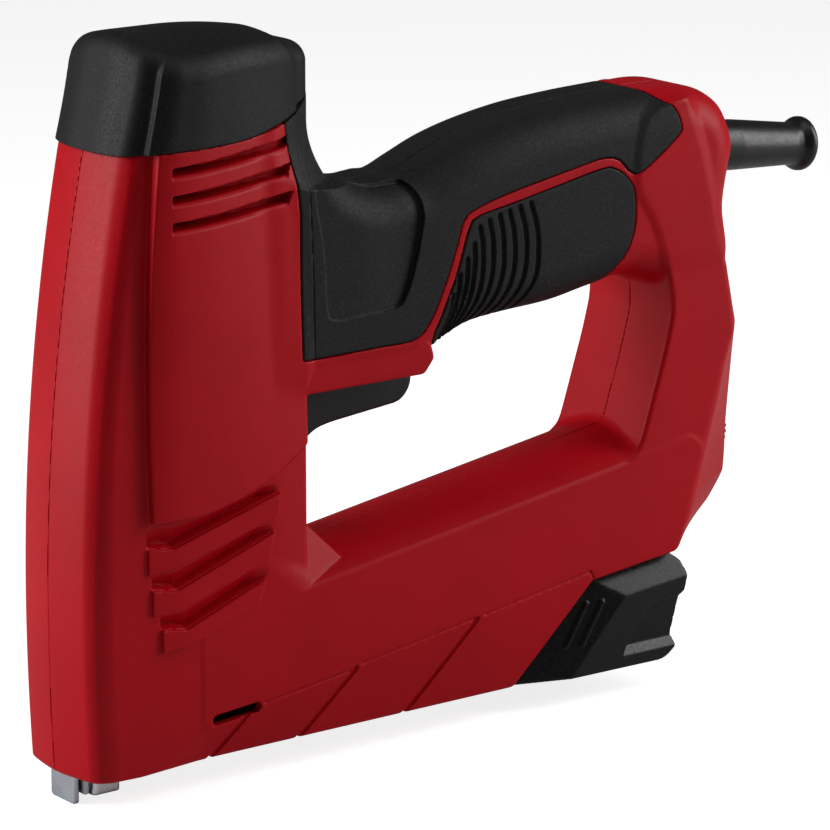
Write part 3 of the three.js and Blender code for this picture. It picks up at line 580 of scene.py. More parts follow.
def shell(side):
    """Half of the housing: side is -1 for the left half and 1 for the right, which has the screw bores."""
    def field(x, y, z):
        v = np.abs(y)
        base = outside(x, v, z)
        f = base.copy()
        f = local(f, x, v, z, (6, 56, 16, 40, 36, 84), gills)
        f = local(f, x, v, z, (8, 66, 9, 40, 144, 178), vents)
        f = local(f, x, v, z, (24, 162, 15, 40, 0, 42), surface_lines)
        f = local(f, x, v, z, (26, 47, 15, 40, 14, 23), slot_by_strip)
        deep = WALL + 0 * f

        def pocket(f, x, v, z):
            return both(f, -both(grip_area(x, z), -f - SKIN - SPLIT, 0.3), 0.35)

        def thick(d, x, v, z):
            return d + (SKIN + SPLIT) * ramp(grip_area(x, z), 3.0, 0.0)
        f = local(f, x, v, z, (50, 200, -1, 40, 88, 200), pocket)
        deep = local(deep, x, v, z, (50, 200, -1, 40, 88, 200), thick)
        deep = local(deep, x, v, z, (0, 62, 9, 40, 32, 84), behind_gills)
        deep = local(deep, x, v, z, (8, 62, 9, 40, 142, 182), behind_vents)
        inside = base + deep
        for at in BORE_AT:
            inside = local(inside, x, v, z, around(at, -1), post(at))
        f = both(f, -inside)
        f = both(f, z - shell_top(x) + 0.03, 0.1)
        f = openings(f, x, v, z)
        if side > 0:
            for at in BORE_AT:
                f = local(f, x, v, z, around(at, 8), screw_bore(at))
        return both(f, SEAM - side * y, 0.12)
    return field


WELL_ROOM = (56, 110, -1, 13, 88, 118)
WAYS = [  # room; front, rear, half width, bottom and top of the way; radius of its edges
    ((-10, 14, -1, 12, 0, 14), (-5, 10, 7.8, 3, 12), 0.3),        # nose block
    ((-10, 2, -1, 12, 0, 20), (-6.9, 0, 6, 3, 17), 0.3),          # safety contact
    ((5, 164, -1, 12, 0, 26), (9, 160, 7.6, 3, 23), 0.3),         # magazine
    (WELL_ROOM, (*TRIGGER_WELL, 8.6, 90, 113.6), 0.5),            # trigger
    ((190, 226, -1, 8, 46, 82), (196, 224, 3.5, 51.4, 77.6), 0.6),  # thumbwheel
]


def way(size, radius):
    """Cuts a way with rounded edges, symmetric about the middle."""
    x0, x1, half, z0, z1 = size

    def change(f, x, v, z):
        block = both(both(both(x0 - x, x - x1), both(z0 - z, z - z1), 0.4), v - half, 0.4)
        return both(f, -block, radius)
    return change


def openings(f, x, v, z):
    """Ways through the shell for the nose, magazine, trigger, dial and cable."""
    for room, size, radius in WAYS:
        f = local(f, x, v, z, room, way(size, radius))

    def sleeve_way(f, x, v, z):
        a, r = along_sleeve(x, v, z)
        return both(f, -both(r - 7.5, -a - 1), 0.6)
    return local(f, x, v, z, (196, 232, -1, 12, 130, 164), sleeve_way)


def soft_piece(side, area, details):
    """One side's soft grip over an area of the side view; details are [room, change] pairs."""
    def field(x, y, z):
        v = np.abs(y)
        base = outside(x, v, z)
        f = base - GRIP_RISE
        for room, change in details:
            f = local(f, x, v, z, room, change)
        f = both(f, area(x, z) + SPLIT, 0.5)
        f = both(f, -(base + SKIN), 0.2)
        f = both(local(f, x, v, z, WELL_ROOM, clear_of_well), SEAM - v, 0.35)
        return both(f, SEAM - side * y, 0.3)
    return field


def clear_of_well(f, x, v, z):
    front, rear = TRIGGER_WELL
    return both(f, -both(both(front - x, x - rear), v - 8.9, 0.3), 0.3)


def under_cap(f, x, v, z):
    return both(f, z - shell_top(x) + 0.05, 0.3)


def neck_line(f, x, v, z):
    return channel(f, x, z, NECK_LINE, 0.22)


def pad_grooves(f, x, v, z):
    reach = np.minimum.reduce([to_segments(x, z, line) for line in PAD_GROOVES])
    return both(f, 0.72 - np.hypot(reach, f * 0.7), 0.3)


UPPER_DETAILS = [
    ((56, 104, 2, 40, 112, 172), thumb_rest),
    ((50, 80, -1, 40, 150, 200), under_cap),
    ((54, 68, 2, 40, 104, 184), neck_line),
]
PAD_DETAILS = [((98, 140, 4, 40, 96, 148), pad_grooves)]


# ---------------------------------------------------------------- the head cap
def cap_surface(x, v, z):
    """Crowned cap in two steps, with a crease between its main part and its lower rear part."""
    lean = 0.27 * (z - 172) * np.clip((44 - x) / 38, 0, 1)
    plan = CAP_PLAN(x - lean, v)
    crown = CAP_TOP_Z - 0.004 * np.maximum(x - 30, 0) ** 2 - 0.0045 * np.maximum(18 - x, 0) ** 2
    main_top = (z - crown + 0.0118 * v * v) * 0.97
    f = both(plan, main_top, 4.4)
    crease = x - (62.2 - 0.0011 * np.maximum(z - 178, 0) ** 3) + 0.28 * np.maximum(v - 10, 0)
    main = both(f, crease, 0.5)
    rear = both(plan + 1.5 * ramp(x, 69, 62), main_top + 1.6, 4.0)
    return either(main, both(rear, 56 - x), 0.4)


def cap(x, y, z):
    v = np.abs(y)
    surface = cap_surface(x, v, z)
    f = both(surface, shell_top(x) + 0.03 - z + 0 * v, 0.4)
    inside = both(surface + 2.4, z - CAP_TOP_Z + 3.0)
    return both(f, -inside, 0.3)


# ---------------------------------------------------------------- trigger, magazine end, sleeve, dial
TRIGGER = Chart(rounded([
    (63.4, 82.0, 1), (66.1, 85.0, 1), (70.5, 88.1, 5), (75.5, 89.1, 5), (98.8, 91.4, 3.2), (102.2, 95, 3),
    (102.7, 101.4, 3), (99, 107.5, 3), (76, 110, 2), (69.5, 111.6, 4), (64.4, 109.8, 3)]))


def trigger(x, y, z):
    v = np.abs(y)
    f = both(TRIGGER(x, z), v - 8.05, 1.5)
    hollow = both(both(both(75 - x, x - 98.5), 93 - z), v - 5.6, 0.5)
    f = both(f, -hollow, 0.3)
    pin_x, pin_z = TRIGGER_PIVOT
    return both(f, -(np.hypot(x - pin_x, z - pin_z) - 1.62 + 0 * v))


SLIDER = Chart(rounded([
    (132.6, 6.3, 0.4), (183.4, 5.8, 2.5), (187.6, 8.9, 1), (186.7, 12.6, 0.5), (188.4, 23.5, 0.5),
    (190.6, 24.8, 0.6), (191.8, 29.6, 1), (191.0, 33.2, 1), (187.9, 35.6, 0.8), (157.9, 32.5, 0.5)]))
SLIDER_PANEL = Chart(rounded([
    (167.0, 7.0, 0), (170.3, 14.4, 0.3), (178.1, 23.5, 0.3), (198, 24.2, 0), (198, 7.0, 0)]))
FLANK = HALF_WIDTH + 0.3
FINGER_RIB = ((157.0, 26.2), (149.2, 15.2))


def panel_recess(f, x, v, z):
    """Sloped recess in the rear of the magazine end's side."""
    depth = 0.3 + 1.7 * np.clip((23.5 - z) / 12, 0, 1)
    sloped = both(FLANK - depth - v, 9.3 + 1.4 * (FLANK - v) - z, 0.1)
    return both(f, -both(SLIDER_PANEL(x, z), sloped, 0.15), 0.2)


def finger_ribs(f, x, v, z):
    """Two slanted ribs to pull on."""
    for shift in (0.0, 4.6):
        line = [(px + shift, pz) for px, pz in FINGER_RIB]
        f = either(f, np.hypot(to_segments(x, z, line), f + 0.1) - 0.75, 0.2)
    return f


def magazine_end(x, y, z):
    """End piece by which the magazine is pulled out: faceted in front, with a ledge along its top."""
    v = np.abs(y)
    crease = 168.8 + 0.933 * (z - 26.9)
    front_facet = (v - FLANK + 0.3 * np.maximum(crease - x, 0)) * 0.95
    f = both(SLIDER(x, z), both(v - FLANK, front_facet, 0.12), 0.6)
    ledge = (1.45 * (v - FLANK) + z - 26.8 - 0.093 * (x - 169)) / 1.76
    f = both(f, ledge, 0.25)
    f = local(f, x, v, z, (160, 200, 13, 40, 6, 28), panel_recess)
    f = local(f, x, v, z, (144, 168, 10, 40, 10, 30), finger_ribs)
    seat = both(both(118 - x, x - 150.4), both(both(7.6 - z, z - 20), v - 5.0, 0.3))
    f = both(f, -seat, 0.3)
    hollow = both(both(both(153 - x, x - 181), both(21 - z, z - 30), 0.5), v - 14, 0.5)
    return both(f, -both(hollow, 131 + z - x, 0.3), 0.3)


def sleeve(x, y, z):
    """Slightly tapered rubber tube with a flange at its tip and a hidden root."""
    a, r = along_sleeve(x, np.abs(y), z)
    length = SLEEVE_LENGTH
    along = [-3, 12, 20, length - 6, length - 3.4, length + 2]
    radius = np.interp(a, along, [7.1, 7.1, 7.25, 6.15, 6.3, 6.3])
    f = both(r - radius, both(-2 - a, a - length, 0.4), 0.6)
    flange = both(r - 7.8, both(length - 2.9 - a, a - length, 1.1), 1.2)
    f = either(f, flange, 1.6)
    root = both(r - 9.7, both(-1.9 - a, a + 0.5), 0.2)
    f = either(f, root, 0.1)
    bore = 3.8 + 0.9 * ramp(a, length - 2.2, length)
    return both(f, bore - r, 0.5)


CONTACT_LOW, CONTACT_HIGH = mm_box("safety_contact")
BLOCK_LOW, BLOCK_HIGH = mm_box("nose_block")
RIVET_Z = mm_middle("blade_rivet")[2]
FOOT_REAR = 7
FOOT_TOP_Z = 4


def contact(x, y, z):
    """Bent safety plate with a thicker shoe at its top."""
    v = np.abs(y)
    front, _, low = CONTACT_LOW
    rear, half, top = CONTACT_HIGH
    plate = both(both(front - x, x - front - 1.6, 0.2), both(v - half, low - z, 0.9), 0.35)
    shoe = both(both(front - x, x - rear, 0.2), both(v - half, 53 - z, 0.3), 0.3)
    f = both(either(plate, shoe, 0.2), z - top, 0.3)
    return both(f, -both(both(-4.35 - x, v - 2.8), z - RIVET_Z - 3), 0.1)


def nose_block(x, y, z):
    """Nose block: rounded outside corners, and a saddle over which the staples ride."""
    v = np.abs(y)
    rear = np.where(z < FOOT_TOP_Z, FOOT_REAR, BLOCK_HIGH[0])
    f = both(both(BLOCK_LOW[0] - x, x - rear), v - BLOCK_HIGH[1], 1.3)
    f = both(both(f, BLOCK_LOW[2] - z, 0.5), z - BLOCK_HIGH[2], 0.4)
    saddle = both(both(6.9 - z, z - 20.9), v - 6.1)
    core = both(z - 19.6, v - 4.7)
    return both(f, -both(saddle, -core), 0.1)


DIAL_TEETH = 40


def dial(x, y, z):
    """Knurled thumbwheel with sunken faces and a bore."""
    v = np.abs(y)
    rx, rz = x - DIAL_AT[0], z - DIAL_AT[2]
    r = np.hypot(rx, rz)
    knurl = 0.55 * (0.5 + 0.5 * np.cos(DIAL_TEETH * np.arctan2(rz, rx)))
    f = both(r - 12 + knurl + 0 * v, v - 3.0 + 0 * r, 0.7)
    face = both(r - 9.6, 2.4 - v, 0.3)
    return both(both(f, -face, 0.2), 2.4 - r)


# ---------------------------------------------------------------- meshing
BLOCK = 8        # grid cells along a block's side
POINTS = 60000   # points sampled at a time
BLOCKS = 1200    # blocks sampled at a time
SHARP = 0.72     # cosine below which a corner takes its face's normal


def sample(field, points):
    """Field at points of shape (n, 3)."""
    out = np.empty(len(points))
    for i in range(0, len(points), POINTS):
        p = points[i:i + POINTS].reshape(-1, 3, 1, 1, 1)
        out[i:i + POINTS] = field(p[:, 0], p[:, 1], p[:, 2]).reshape(-1)
    return out


def grid_values(field, low, high, pitch):
    """Field on a grid, exact in the blocks near the surface and one value for each of the others."""
    counts = np.ceil((np.array(high) - low) / pitch / BLOCK).astype(int)
    axes = [low[i] + pitch * BLOCK * (np.arange(counts[i]) + 0.5) for i in range(3)]
    centres = np.stack(np.meshgrid(*axes, indexing="ij"), -1).reshape(-1, 3)
    coarse = sample(field, centres).astype(np.float32)
    reach = math.sqrt(3) / 2 * BLOCK * pitch * 1.35
    cube = coarse.reshape(counts)
    values = np.ones(counts * BLOCK + 1, np.float32)
    solid = np.repeat(np.repeat(np.repeat(cube, BLOCK, 0), BLOCK, 1), BLOCK, 2)
    values[:-1, :-1, :-1] = solid
    values[-1], values[:, -1], values[:, :, -1] = 1, 1, 1
    live = np.argwhere(np.abs(cube) < reach)
    steps = np.arange(BLOCK + 1)
    for i in range(0, len(live), BLOCKS):
        part = live[i:i + BLOCKS]
        x, y, z = (low[a] + pitch * (part[:, a, None] * BLOCK + steps) for a in range(3))
        got = field(x[:, :, None, None], y[:, None, :, None], z[:, None, None, :]).astype(np.float32)
        for (a, b, c), block in zip(part * BLOCK, got):
            values[a:a + BLOCK + 1, b:b + BLOCK + 1, c:c + BLOCK + 1] = block
    return values


def surface_net(values, low, pitch):
    """Vertices and quads of the zero surface, one vertex in each cell that it crosses."""
    inside = values < 0
    corners = [(a, b, c) for a in (0, 1) for b in (0, 1) for c in (0, 1)]
    shape = np.array(values.shape) - 1

    def at(array, corner):
        return array[tuple(slice(c, c + n) for c, n in zip(corner, shape))]
    total = np.zeros(shape, np.uint8)
    for corner in corners:
        total += at(inside, corner)
    cells = np.argwhere((total > 0) & (total < 8))
    index = np.full(shape, -1, np.int64)
    index[tuple(cells.T)] = np.arange(len(cells))
    value = {c: values[tuple((cells + c).T)] for c in corners}
    spot, count = np.zeros((len(cells), 3)), np.zeros(len(cells))
    for c in corners:
        for axis in range(3):
            if c[axis]:
                continue
            d = tuple(1 if i == axis else c[i] for i in range(3))
            hit = (value[c] < 0) != (value[d] < 0)
            t = np.where(hit, value[c] / np.where(hit, value[c] - value[d], 1), 0)
            for i in range(3):
                spot[:, i] += hit * (t if i == axis else c[i])
            count += hit
    vertices = low + pitch * (cells + spot / count[:, None])
    quads = []
    for axis in range(3):
        u, w = (axis + 1) % 3, (axis + 2) % 3
        ahead = [slice(None)] * 3
        ahead[axis] = slice(1, None)
        behind = [slice(None)] * 3
        behind[axis] = slice(None, -1)
        edges = np.argwhere(inside[tuple(behind)] != inside[tuple(ahead)])
        eu, ew = edges[:, u], edges[:, w]
        edges = edges[(eu > 0) & (ew > 0) & (eu < shape[u]) & (ew < shape[w])]
        du, dw = np.eye(3, dtype=int)[u], np.eye(3, dtype=int)[w]
        ring = [index[tuple((edges - s).T)] for s in (du + dw, dw, 0 * du, du)]
        quad = np.stack(ring, 1)
        outward = inside[tuple(edges.T)]
        quad[~outward] = quad[~outward][:, ::-1]
        quads.append(quad)
    quads = np.concatenate(quads)
    return vertices, quads[(quads >= 0).all(1)]


def mesh_from(name, vertices, faces):
    mesh = bpy.data.meshes.new(name)
    sides = faces.shape[1]
    mesh.vertices.add(len(vertices))
    mesh.vertices.foreach_set("co", (vertices * MM).astype(np.float32).ravel())
    mesh.loops.add(faces.size)
    mesh.loops.foreach_set("vertex_index", faces.astype(np.int32).ravel())
    mesh.polygons.add(len(faces))
    mesh.polygons.foreach_set("loop_start", np.arange(0, faces.size, sides, dtype=np.int32))
    mesh.polygons.foreach_set("use_smooth", np.ones(len(faces), bool))
    mesh.update(calc_edges=True)
    return mesh


def gradient(field, points, step=0.2):
    grad = np.empty_like(points)
    for axis in range(3):
        shift = np.zeros(3)
        shift[axis] = step
        grad[:, axis] = sample(field, points + shift) - sample(field, points - shift)
    return grad / (2 * step)


def thinned(name, mesh, keep):
    """An object of the mesh, decimated to the share that keep gives."""
    thing = bpy.data.objects.new(name, mesh)
    bpy.context.scene.collection.objects.link(thing)
    thin = thing.modifiers.new("thin", "DECIMATE")
    thin.ratio = keep
    graph = bpy.context.evaluated_depsgraph_get()
    light = bpy.data.meshes.new_from_object(thing.evaluated_get(graph), depsgraph=graph)
    thing.modifiers.clear()
    thing.data = light
    bpy.data.meshes.remove(mesh)
    light.name = name
    return thing


def read(rows, key, kind, width=1):
    """One attribute of a mesh's vertices, loops or polygons as an array."""
    flat = np.empty(len(rows) * width, kind)
    rows.foreach_get(key, flat)
    return flat


def onto_surface(field, points, pitch):
    """Points moved along the gradient to the field's zero surface."""
    slope = gradient(field, points)
    length = np.maximum((slope ** 2).sum(1), 0.3)
    move = -slope * (sample(field, points) / length)[:, None]
    size = np.linalg.norm(move, axis=1, keepdims=True)
    return points + move * np.minimum(1, 0.35 * pitch / np.maximum(size, 1e-9))


def shade(mesh, field, points):
    """Normals from the field's gradient, and from the faces at sharp edges."""
    normal = gradient(field, points)
    normal /= np.maximum(np.linalg.norm(normal, axis=1, keepdims=True), 1e-6)
    shading = normal[read(mesh.loops, "vertex_index", np.int32)]
    sides = read(mesh.polygons, "loop_total", np.int32)
    facing = np.repeat(read(mesh.polygons, "normal", np.float32, 3).reshape(-1, 3), sides, axis=0)
    sharp = (shading * facing).sum(1) < SHARP
    shading[sharp] = facing[sharp]
    mesh.normals_split_custom_set(shading.tolist())


def moulded(name, field, low, high, keep, pitch=None, plane=None):
    """A Blender object of the field's zero surface, thinned where it is flat, with true normals.

    A layer of samples lies at y = plane, just inside a cut face.
    """
    pitch = pitch or PITCH
    low = np.array(low, float) - 0.31 * pitch
    if plane is not None:
        low[1] = plane - pitch * math.ceil((plane - low[1]) / pitch)
    values = grid_values(field, low, np.array(high, float), pitch)
    vertices, quads = surface_net(values, low, pitch)
    thing = thinned(name, mesh_from(name, vertices, quads), keep)
    light = thing.data
    points = read(light.vertices, "co", np.float32, 3).reshape(-1, 3).astype(float) / MM
    points = onto_surface(field, points, pitch)
    light.vertices.foreach_set("co", (points * MM).astype(np.float32).ravel())
    light.polygons.foreach_set("use_smooth", np.ones(len(light.polygons), bool))
    light.update()
    shade(light, field, points)
    print(name, len(quads), "quads,", len(light.polygons), "triangles kept")
    return thing


# ---------------------------------------------------------------- materials
def material(name):
    """An empty material with its node tree and its shader."""
    made = bpy.data.materials.new(name)
    made.use_nodes = True
    tree = made.node_tree
    tree.nodes.clear()
    output = tree.nodes.new("ShaderNodeOutputMaterial")
    shader = tree.nodes.new("ShaderNodeBsdfPrincipled")
    tree.links.new(shader.outputs["BSDF"], output.inputs["Surface"])
    return made, tree, shader


def noise(tree, scale, detail=2.0, roughness=0.5, stretch=(1, 1, 1)):
    """Noise in the object's own coordinates."""
    place = tree.nodes.new("ShaderNodeTexCoord")
    turn = tree.nodes.new("ShaderNodeMapping")
    turn.inputs["Scale"].default_value = stretch
    made = tree.nodes.new("ShaderNodeTexNoise")
    made.inputs["Scale"].default_value = scale
    made.inputs["Detail"].default_value = detail
    made.inputs["Roughness"].default_value = roughness
    tree.links.new(place.outputs["Object"], turn.inputs["Vector"])
    tree.links.new(turn.outputs["Vector"], made.inputs["Vector"])
    return made.outputs["Fac"]


def spread(tree, factor, start, end, low, high):
    """Maps a factor's range onto a value's range."""
    made = tree.nodes.new("ShaderNodeMapRange")
    made.inputs["From Min"].default_value = start
    made.inputs["From Max"].default_value = end
    made.inputs["To Min"].default_value = low
    made.inputs["To Max"].default_value = high
    tree.links.new(factor, made.inputs["Value"])
    return made.outputs["Result"]


def mixed(tree, factor, first, second):
    """Mix of two colours, each a tuple or a socket."""
    made = tree.nodes.new("ShaderNodeMix")
    made.data_type = "RGBA"
    tree.links.new(factor, made.inputs["Factor"])
    for socket, colour in (("A", first), ("B", second)):
        slot = [s for s in made.inputs if s.name == socket and s.type == "RGBA"][0]
        if isinstance(colour, tuple):
            slot.default_value = (*colour, 1)
        else:
            tree.links.new(colour, slot)
    return [s for s in made.outputs if s.type == "RGBA"][0]


def bump(tree, shader, height, strength, distance):
    """Fine relief from a height; distance in millimetres."""
    made = tree.nodes.new("ShaderNodeBump")
    made.inputs["Strength"].default_value = strength
    made.inputs["Distance"].default_value = distance * MM
    tree.links.new(height, made.inputs["Height"])
    tree.links.new(made.outputs["Normal"], shader.inputs["Normal"])


def painted_edge_highlight(tree, low=0.52, high=0.62):
    """Mask of the painted edge highlight: 1 on convex edges, 0 elsewhere."""
    geometry = tree.nodes.new("ShaderNodeNewGeometry")
    return spread(tree, geometry.outputs["Pointiness"], low, high, 0.0, 1.0)


def plastic(name, base, deep, fleck, roughness, grain, grain_scale, gloss=0.25, edge_highlight_colour=None):
    """Moulded plastic: fine spark-eroded grain, slight colour drift and a painted highlight that lightens
    convex edges.
    """
    made, tree, shader = material(name)
    drift = spread(tree, noise(tree, 28, 3), 0.35, 0.65, 0, 1)
    colour = mixed(tree, drift, base, deep)
    speck = spread(tree, noise(tree, grain_scale * 0.9, 1.5, 0.6), 0.58, 0.72, 0, 0.75)
    colour = mixed(tree, speck, colour, fleck)
    # Painted highlight: convex edges are lightened towards the edge highlight colour, by up to 0.35.
    colour = mixed(tree, spread(tree, painted_edge_highlight(tree), 0, 1, 0, 0.35), colour, edge_highlight_colour or fleck)
    tree.links.new(colour, shader.inputs["Base Color"])
    patches = noise(tree, grain_scale * 0.6, 2)
    rough = spread(tree, patches, 0.3, 0.7, roughness - 0.06, roughness + 0.08)
    tree.links.new(rough, shader.inputs["Roughness"])
    shader.inputs["Specular IOR Level"].default_value = gloss
    bump(tree, shader, noise(tree, grain_scale, 2.5, 0.6), grain, 0.05)
    return made


def metal(name, base, dark, roughness, brush=(1, 1, 1), scale=260, patina=0.25):
    """Bare or plated metal with fine drawn lines and a little staining."""
    made, tree, shader = material(name)
    stain = spread(tree, noise(tree, 90, 4, 0.6), 0.45, 0.75, 0, patina)
    colour = mixed(tree, stain, base, dark)
    tree.links.new(colour, shader.inputs["Base Color"])
    shader.inputs["Metallic"].default_value = 1.0
    lines = noise(tree, scale, 3, 0.6, brush)
    rough = spread(tree, lines, 0.3, 0.7, roughness * 0.7, roughness * 1.35)
    tree.links.new(rough, shader.inputs["Roughness"])
    bump(tree, shader, lines, 0.12, 0.02)
    return made


# A plastic's last colour, where given, is the colour of its painted edge highlight; otherwise its fleck
# colour is used.
RED = plastic("red_moulding", (0.50, 0.0006, 0.0075), (0.44, 0.0004, 0.0065), (0.62, 0.006, 0.012),
              0.42, 0.30, 2400, 0.16, (0.60, 0.008, 0.012))
CAP_BLACK = plastic("cap_moulding", (0.009, 0.009, 0.0095), (0.007, 0.007, 0.0075), (0.035, 0.034, 0.033),
                    0.52, 0.30, 2300, 0.2, (0.018, 0.018, 0.019))
SOFT = plastic("soft_grip_rubber", (0.008, 0.008, 0.0085), (0.0065, 0.0065, 0.007), (0.04, 0.039, 0.038),
               0.6, 0.25, 2100, 0.25, (0.018, 0.018, 0.019))
GLOSS_BLACK = plastic("magazine_moulding", (0.006, 0.006, 0.0065), (0.005, 0.005, 0.005), (0.02, 0.02, 0.02),
                      0.3, 0.18, 1900, 0.3, (0.012, 0.012, 0.013))
TRIGGER_BLACK = plastic("trigger_moulding", (0.007, 0.007, 0.0075), (0.0055, 0.0055, 0.006),
                        (0.03, 0.03, 0.03), 0.42, 0.26, 2000, 0.35, (0.014, 0.014, 0.015))
RUBBER = plastic("sleeve_rubber", (0.006, 0.006, 0.006), (0.0045, 0.0045, 0.0045), (0.035, 0.034, 0.033),
                 0.34, 0.3, 1500, 0.45, (0.015, 0.015, 0.015))
CHROME = metal("bright_chrome", (0.80, 0.82, 0.85), (0.45, 0.47, 0.5), 0.14, (1, 1, 6), 180, 0.2)
ZINC = metal("zinc_steel", (0.62, 0.67, 0.73), (0.34, 0.39, 0.46), 0.34, (1, 1, 14), 300, 0.55)
STEEL = metal("drawn_steel", (0.55, 0.56, 0.58), (0.3, 0.3, 0.31), 0.28, (8, 1, 1), 240, 0.35)
IRON = metal("laminated_iron", (0.30, 0.30, 0.31), (0.12, 0.10, 0.09), 0.45, (1, 22, 1), 200, 0.6)
COPPER = metal("enamelled_copper", (0.55, 0.16, 0.05), (0.30, 0.07, 0.02), 0.30, (1, 1, 40), 160, 0.4)
NATURAL = plastic("natural_nylon", (0.72, 0.69, 0.60), (0.66, 0.62, 0.52), (0.8, 0.78, 0.7),
                  0.42, 0.2, 1800)
BOARD = plastic("board_laminate", (0.012, 0.10, 0.035), (0.010, 0.07, 0.025), (0.05, 0.2, 0.09),
                0.36, 0.15, 1500)


def dress(thing, made):
    thing.data.materials.clear()
    thing.data.materials.append(made)


CAD_FINISH = {
    "steel": STEEL, "iron": IRON, "copper": COPPER, "natural_plastic": NATURAL, "circuit_board": BOARD,
    "zinc_steel": ZINC, "bright_chrome": CHROME, "black_plastic": TRIGGER_BLACK, "rubber": RUBBER,
    "soft_grip": SOFT, "head_cap": CAP_BLACK, "red_shell": RED,
}
for row in frame["record"]["subparts"]:
    dress(frame["nodes"][row["node"]], CAD_FINISH[row["material_slot"]])


# ---------------------------------------------------------------- the pieces
def add(name, field, low, high, keep, finish, body, slot, *nodes, pitch=None, plane=None):
    """Makes a moulded piece in the room low to high and puts it in place of CAD nodes."""
    thing = moulded(name, field, low, high, keep, pitch, plane)
    dress(thing, finish)
    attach(thing, body)
    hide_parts(*nodes)


def add_half(name, field, low, high, side, keep, finish, slot, node):
    """A piece of one half; low and high give the room's [x, z] corners."""
    y = (-28, 0.6) if side < 0 else (-0.6, 28)
    room = (low[0], y[0], low[1]), (high[0], y[1], high[1])
    add(name, field, *room, keep, finish, "housing", slot, node, plane=side * (SEAM + 0.03))


for word, side in SIDES:
    add_half(f"shell_{word}", shell(side), (-12, 4), (223, 182), side, 0.25, RED, "red_shell",
             f"housing_{word}")
for word, side in SIDES:
    add_half(f"upper_grip_{word}", soft_piece(side, UPPER_GRIP, UPPER_DETAILS), (54, 104), (192, 184), side,
             0.3, SOFT, "soft_grip", f"soft_grip_{word}")
    add_half(f"palm_pad_{word}", soft_piece(side, PAD, PAD_DETAILS), (98, 94), (176, 154), side,
             0.35, SOFT, "soft_grip", f"grip_pad_{word}")
add("domed_cap", cap, (0, -29, 167), (76, 29, 202), 0.3, CAP_BLACK, "housing", "head_cap", "head_cap")
add("trigger_lever", trigger, (60, -10, 73), (105, 10, 114), 0.3, TRIGGER_BLACK, "trigger", "black_plastic",
    "trigger")
add("magazine_end", magazine_end, (129, -22, 3), (194, 22, 39), 0.3, GLOSS_BLACK, "magazine",
    "black_plastic", "magazine_slider")
add("cord_sleeve", sleeve, (196, -11, 133), (254, 11, 161), 0.35, RUBBER, "housing", "rubber",
    "cable_sleeve")
add("contact_plate", contact, (-8, -7, -3), (-2, 7, 67), 0.4, ZINC, "safety_contact", "zinc_steel",
    "safety_contact", pitch=SMALL_PITCH)
add("nose_foot", nose_block, (-3, -9, -1.5), (11, 9, 26), 0.4, CHROME, "housing", "bright_chrome",
    "nose_block", pitch=SMALL_PITCH)
add("thumbwheel", dial, (194, -4, 51), (221, 4, 78), 0.5, TRIGGER_BLACK, "dial", "black_plastic",
    "force_dial")


# ---------------------------------------------------------------- floor, light and camera
FLOOR_HALF = 6.0
MIDDLE = Vector((0.11, 0, 0.095))
CAMERA_AT = Vector((-0.6065, -0.9498, 0.3877))
TOWARDS_CAMERA = Vector((-0.5832, -0.7739, 0.2470))


def paper(name, colour, roughness, glow):
    """Pale paper, which glows only for the camera."""
    made, tree, shader = material(name)
    drift = spread(tree, noise(tree, 3, 2), 0.3, 0.7, 0, 1)
    tint = mixed(tree, drift, colour, tuple(0.985 * c for c in colour))
    tree.links.new(tint, shader.inputs["Base Color"])
    shader.inputs["Roughness"].default_value = roughness
    shader.inputs["Emission Color"].default_value = (1, 1, 1, 1)
    seen = tree.nodes.new("ShaderNodeLightPath").outputs["Is Camera Ray"]
    tree.links.new(spread(tree, seen, 0, 1, 0, glow), shader.inputs["Emission Strength"])
    return made


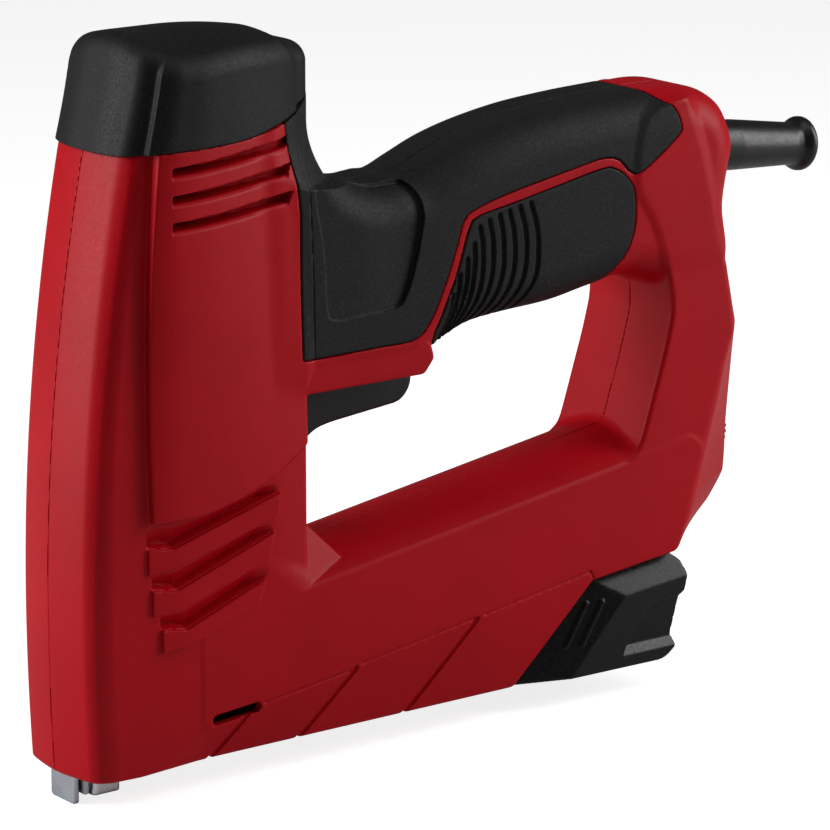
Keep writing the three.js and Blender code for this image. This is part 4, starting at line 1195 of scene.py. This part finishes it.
def floor_sheet(z):
    mesh = bpy.data.meshes.new("floor")
    half = FLOOR_HALF
    corners = [(-half, -half, z), (half, -half, z), (half, half, z), (-half, half, z)]
    mesh.from_pydata(corners, [], [(0, 1, 2, 3)])
    thing = bpy.data.objects.new("floor", mesh)
    bpy.context.scene.collection.objects.link(thing)
    dress(thing, paper("floor_paper", (0.6, 0.6, 0.6), 0.8, 0.8))
    return thing


def studio(light, seen):
    """White surroundings: their strength as light, and as seen by the camera."""
    world = bpy.data.worlds.new("studio")
    bpy.context.scene.world = world
    world.use_nodes = True
    nodes, links = world.node_tree.nodes, world.node_tree.links
    backdrop = nodes["Background"]
    backdrop.inputs["Color"].default_value = (1.0, 1.0, 1.0, 1)
    rays = nodes.new("ShaderNodeLightPath")
    level = nodes.new("ShaderNodeMapRange")
    level.inputs["To Min"].default_value = light
    level.inputs["To Max"].default_value = seen
    links.new(rays.outputs["Is Camera Ray"], level.inputs["Value"])
    links.new(level.outputs["Result"], backdrop.inputs["Strength"])


def lamp(name, azimuth, elevation, distance, size, power):
    """Area light facing the tool; azimuth 0 is in front of the left side and 90 behind the rear."""
    a, e = math.radians(azimuth), math.radians(elevation)
    away = Vector((math.sin(a) * math.cos(e), -math.cos(a) * math.cos(e), math.sin(e)))
    data = bpy.data.lights.new(name, "AREA")
    data.shape = "RECTANGLE"
    data.size, data.size_y = size
    data.energy = power
    thing = bpy.data.objects.new(name, data)
    bpy.context.scene.collection.objects.link(thing)
    thing.location = MIDDLE + away * distance
    thing.rotation_mode = "QUATERNION"
    thing.rotation_quaternion = away.to_track_quat("Z", "Y")


def long_lens():
    data = bpy.data.cameras.new("camera")
    camera = bpy.data.objects.new("camera", data)
    bpy.context.scene.collection.objects.link(camera)
    camera.location = CAMERA_AT
    camera.rotation_mode = "QUATERNION"
    camera.rotation_quaternion = TOWARDS_CAMERA.to_track_quat("Z", "Y")
    data.sensor_width = 36
    data.lens = 195.2
    data.clip_start = 0.05
    data.clip_end = 50
    return camera


floor = floor_sheet(cad_box[0].z)
studio(0.07, 1.0)
lamp("key_front", -118, 18, 0.9, (0.4, 0.9), 7)
lamp("key_rear", 60, 24, 1.0, (0.4, 0.9), 7)
lamp("top", -40, 80, 0.9, (0.9, 0.5), 1.5)

bpy.context.scene.camera = long_lens()
bpy.context.scene.view_settings.view_transform = "Standard"
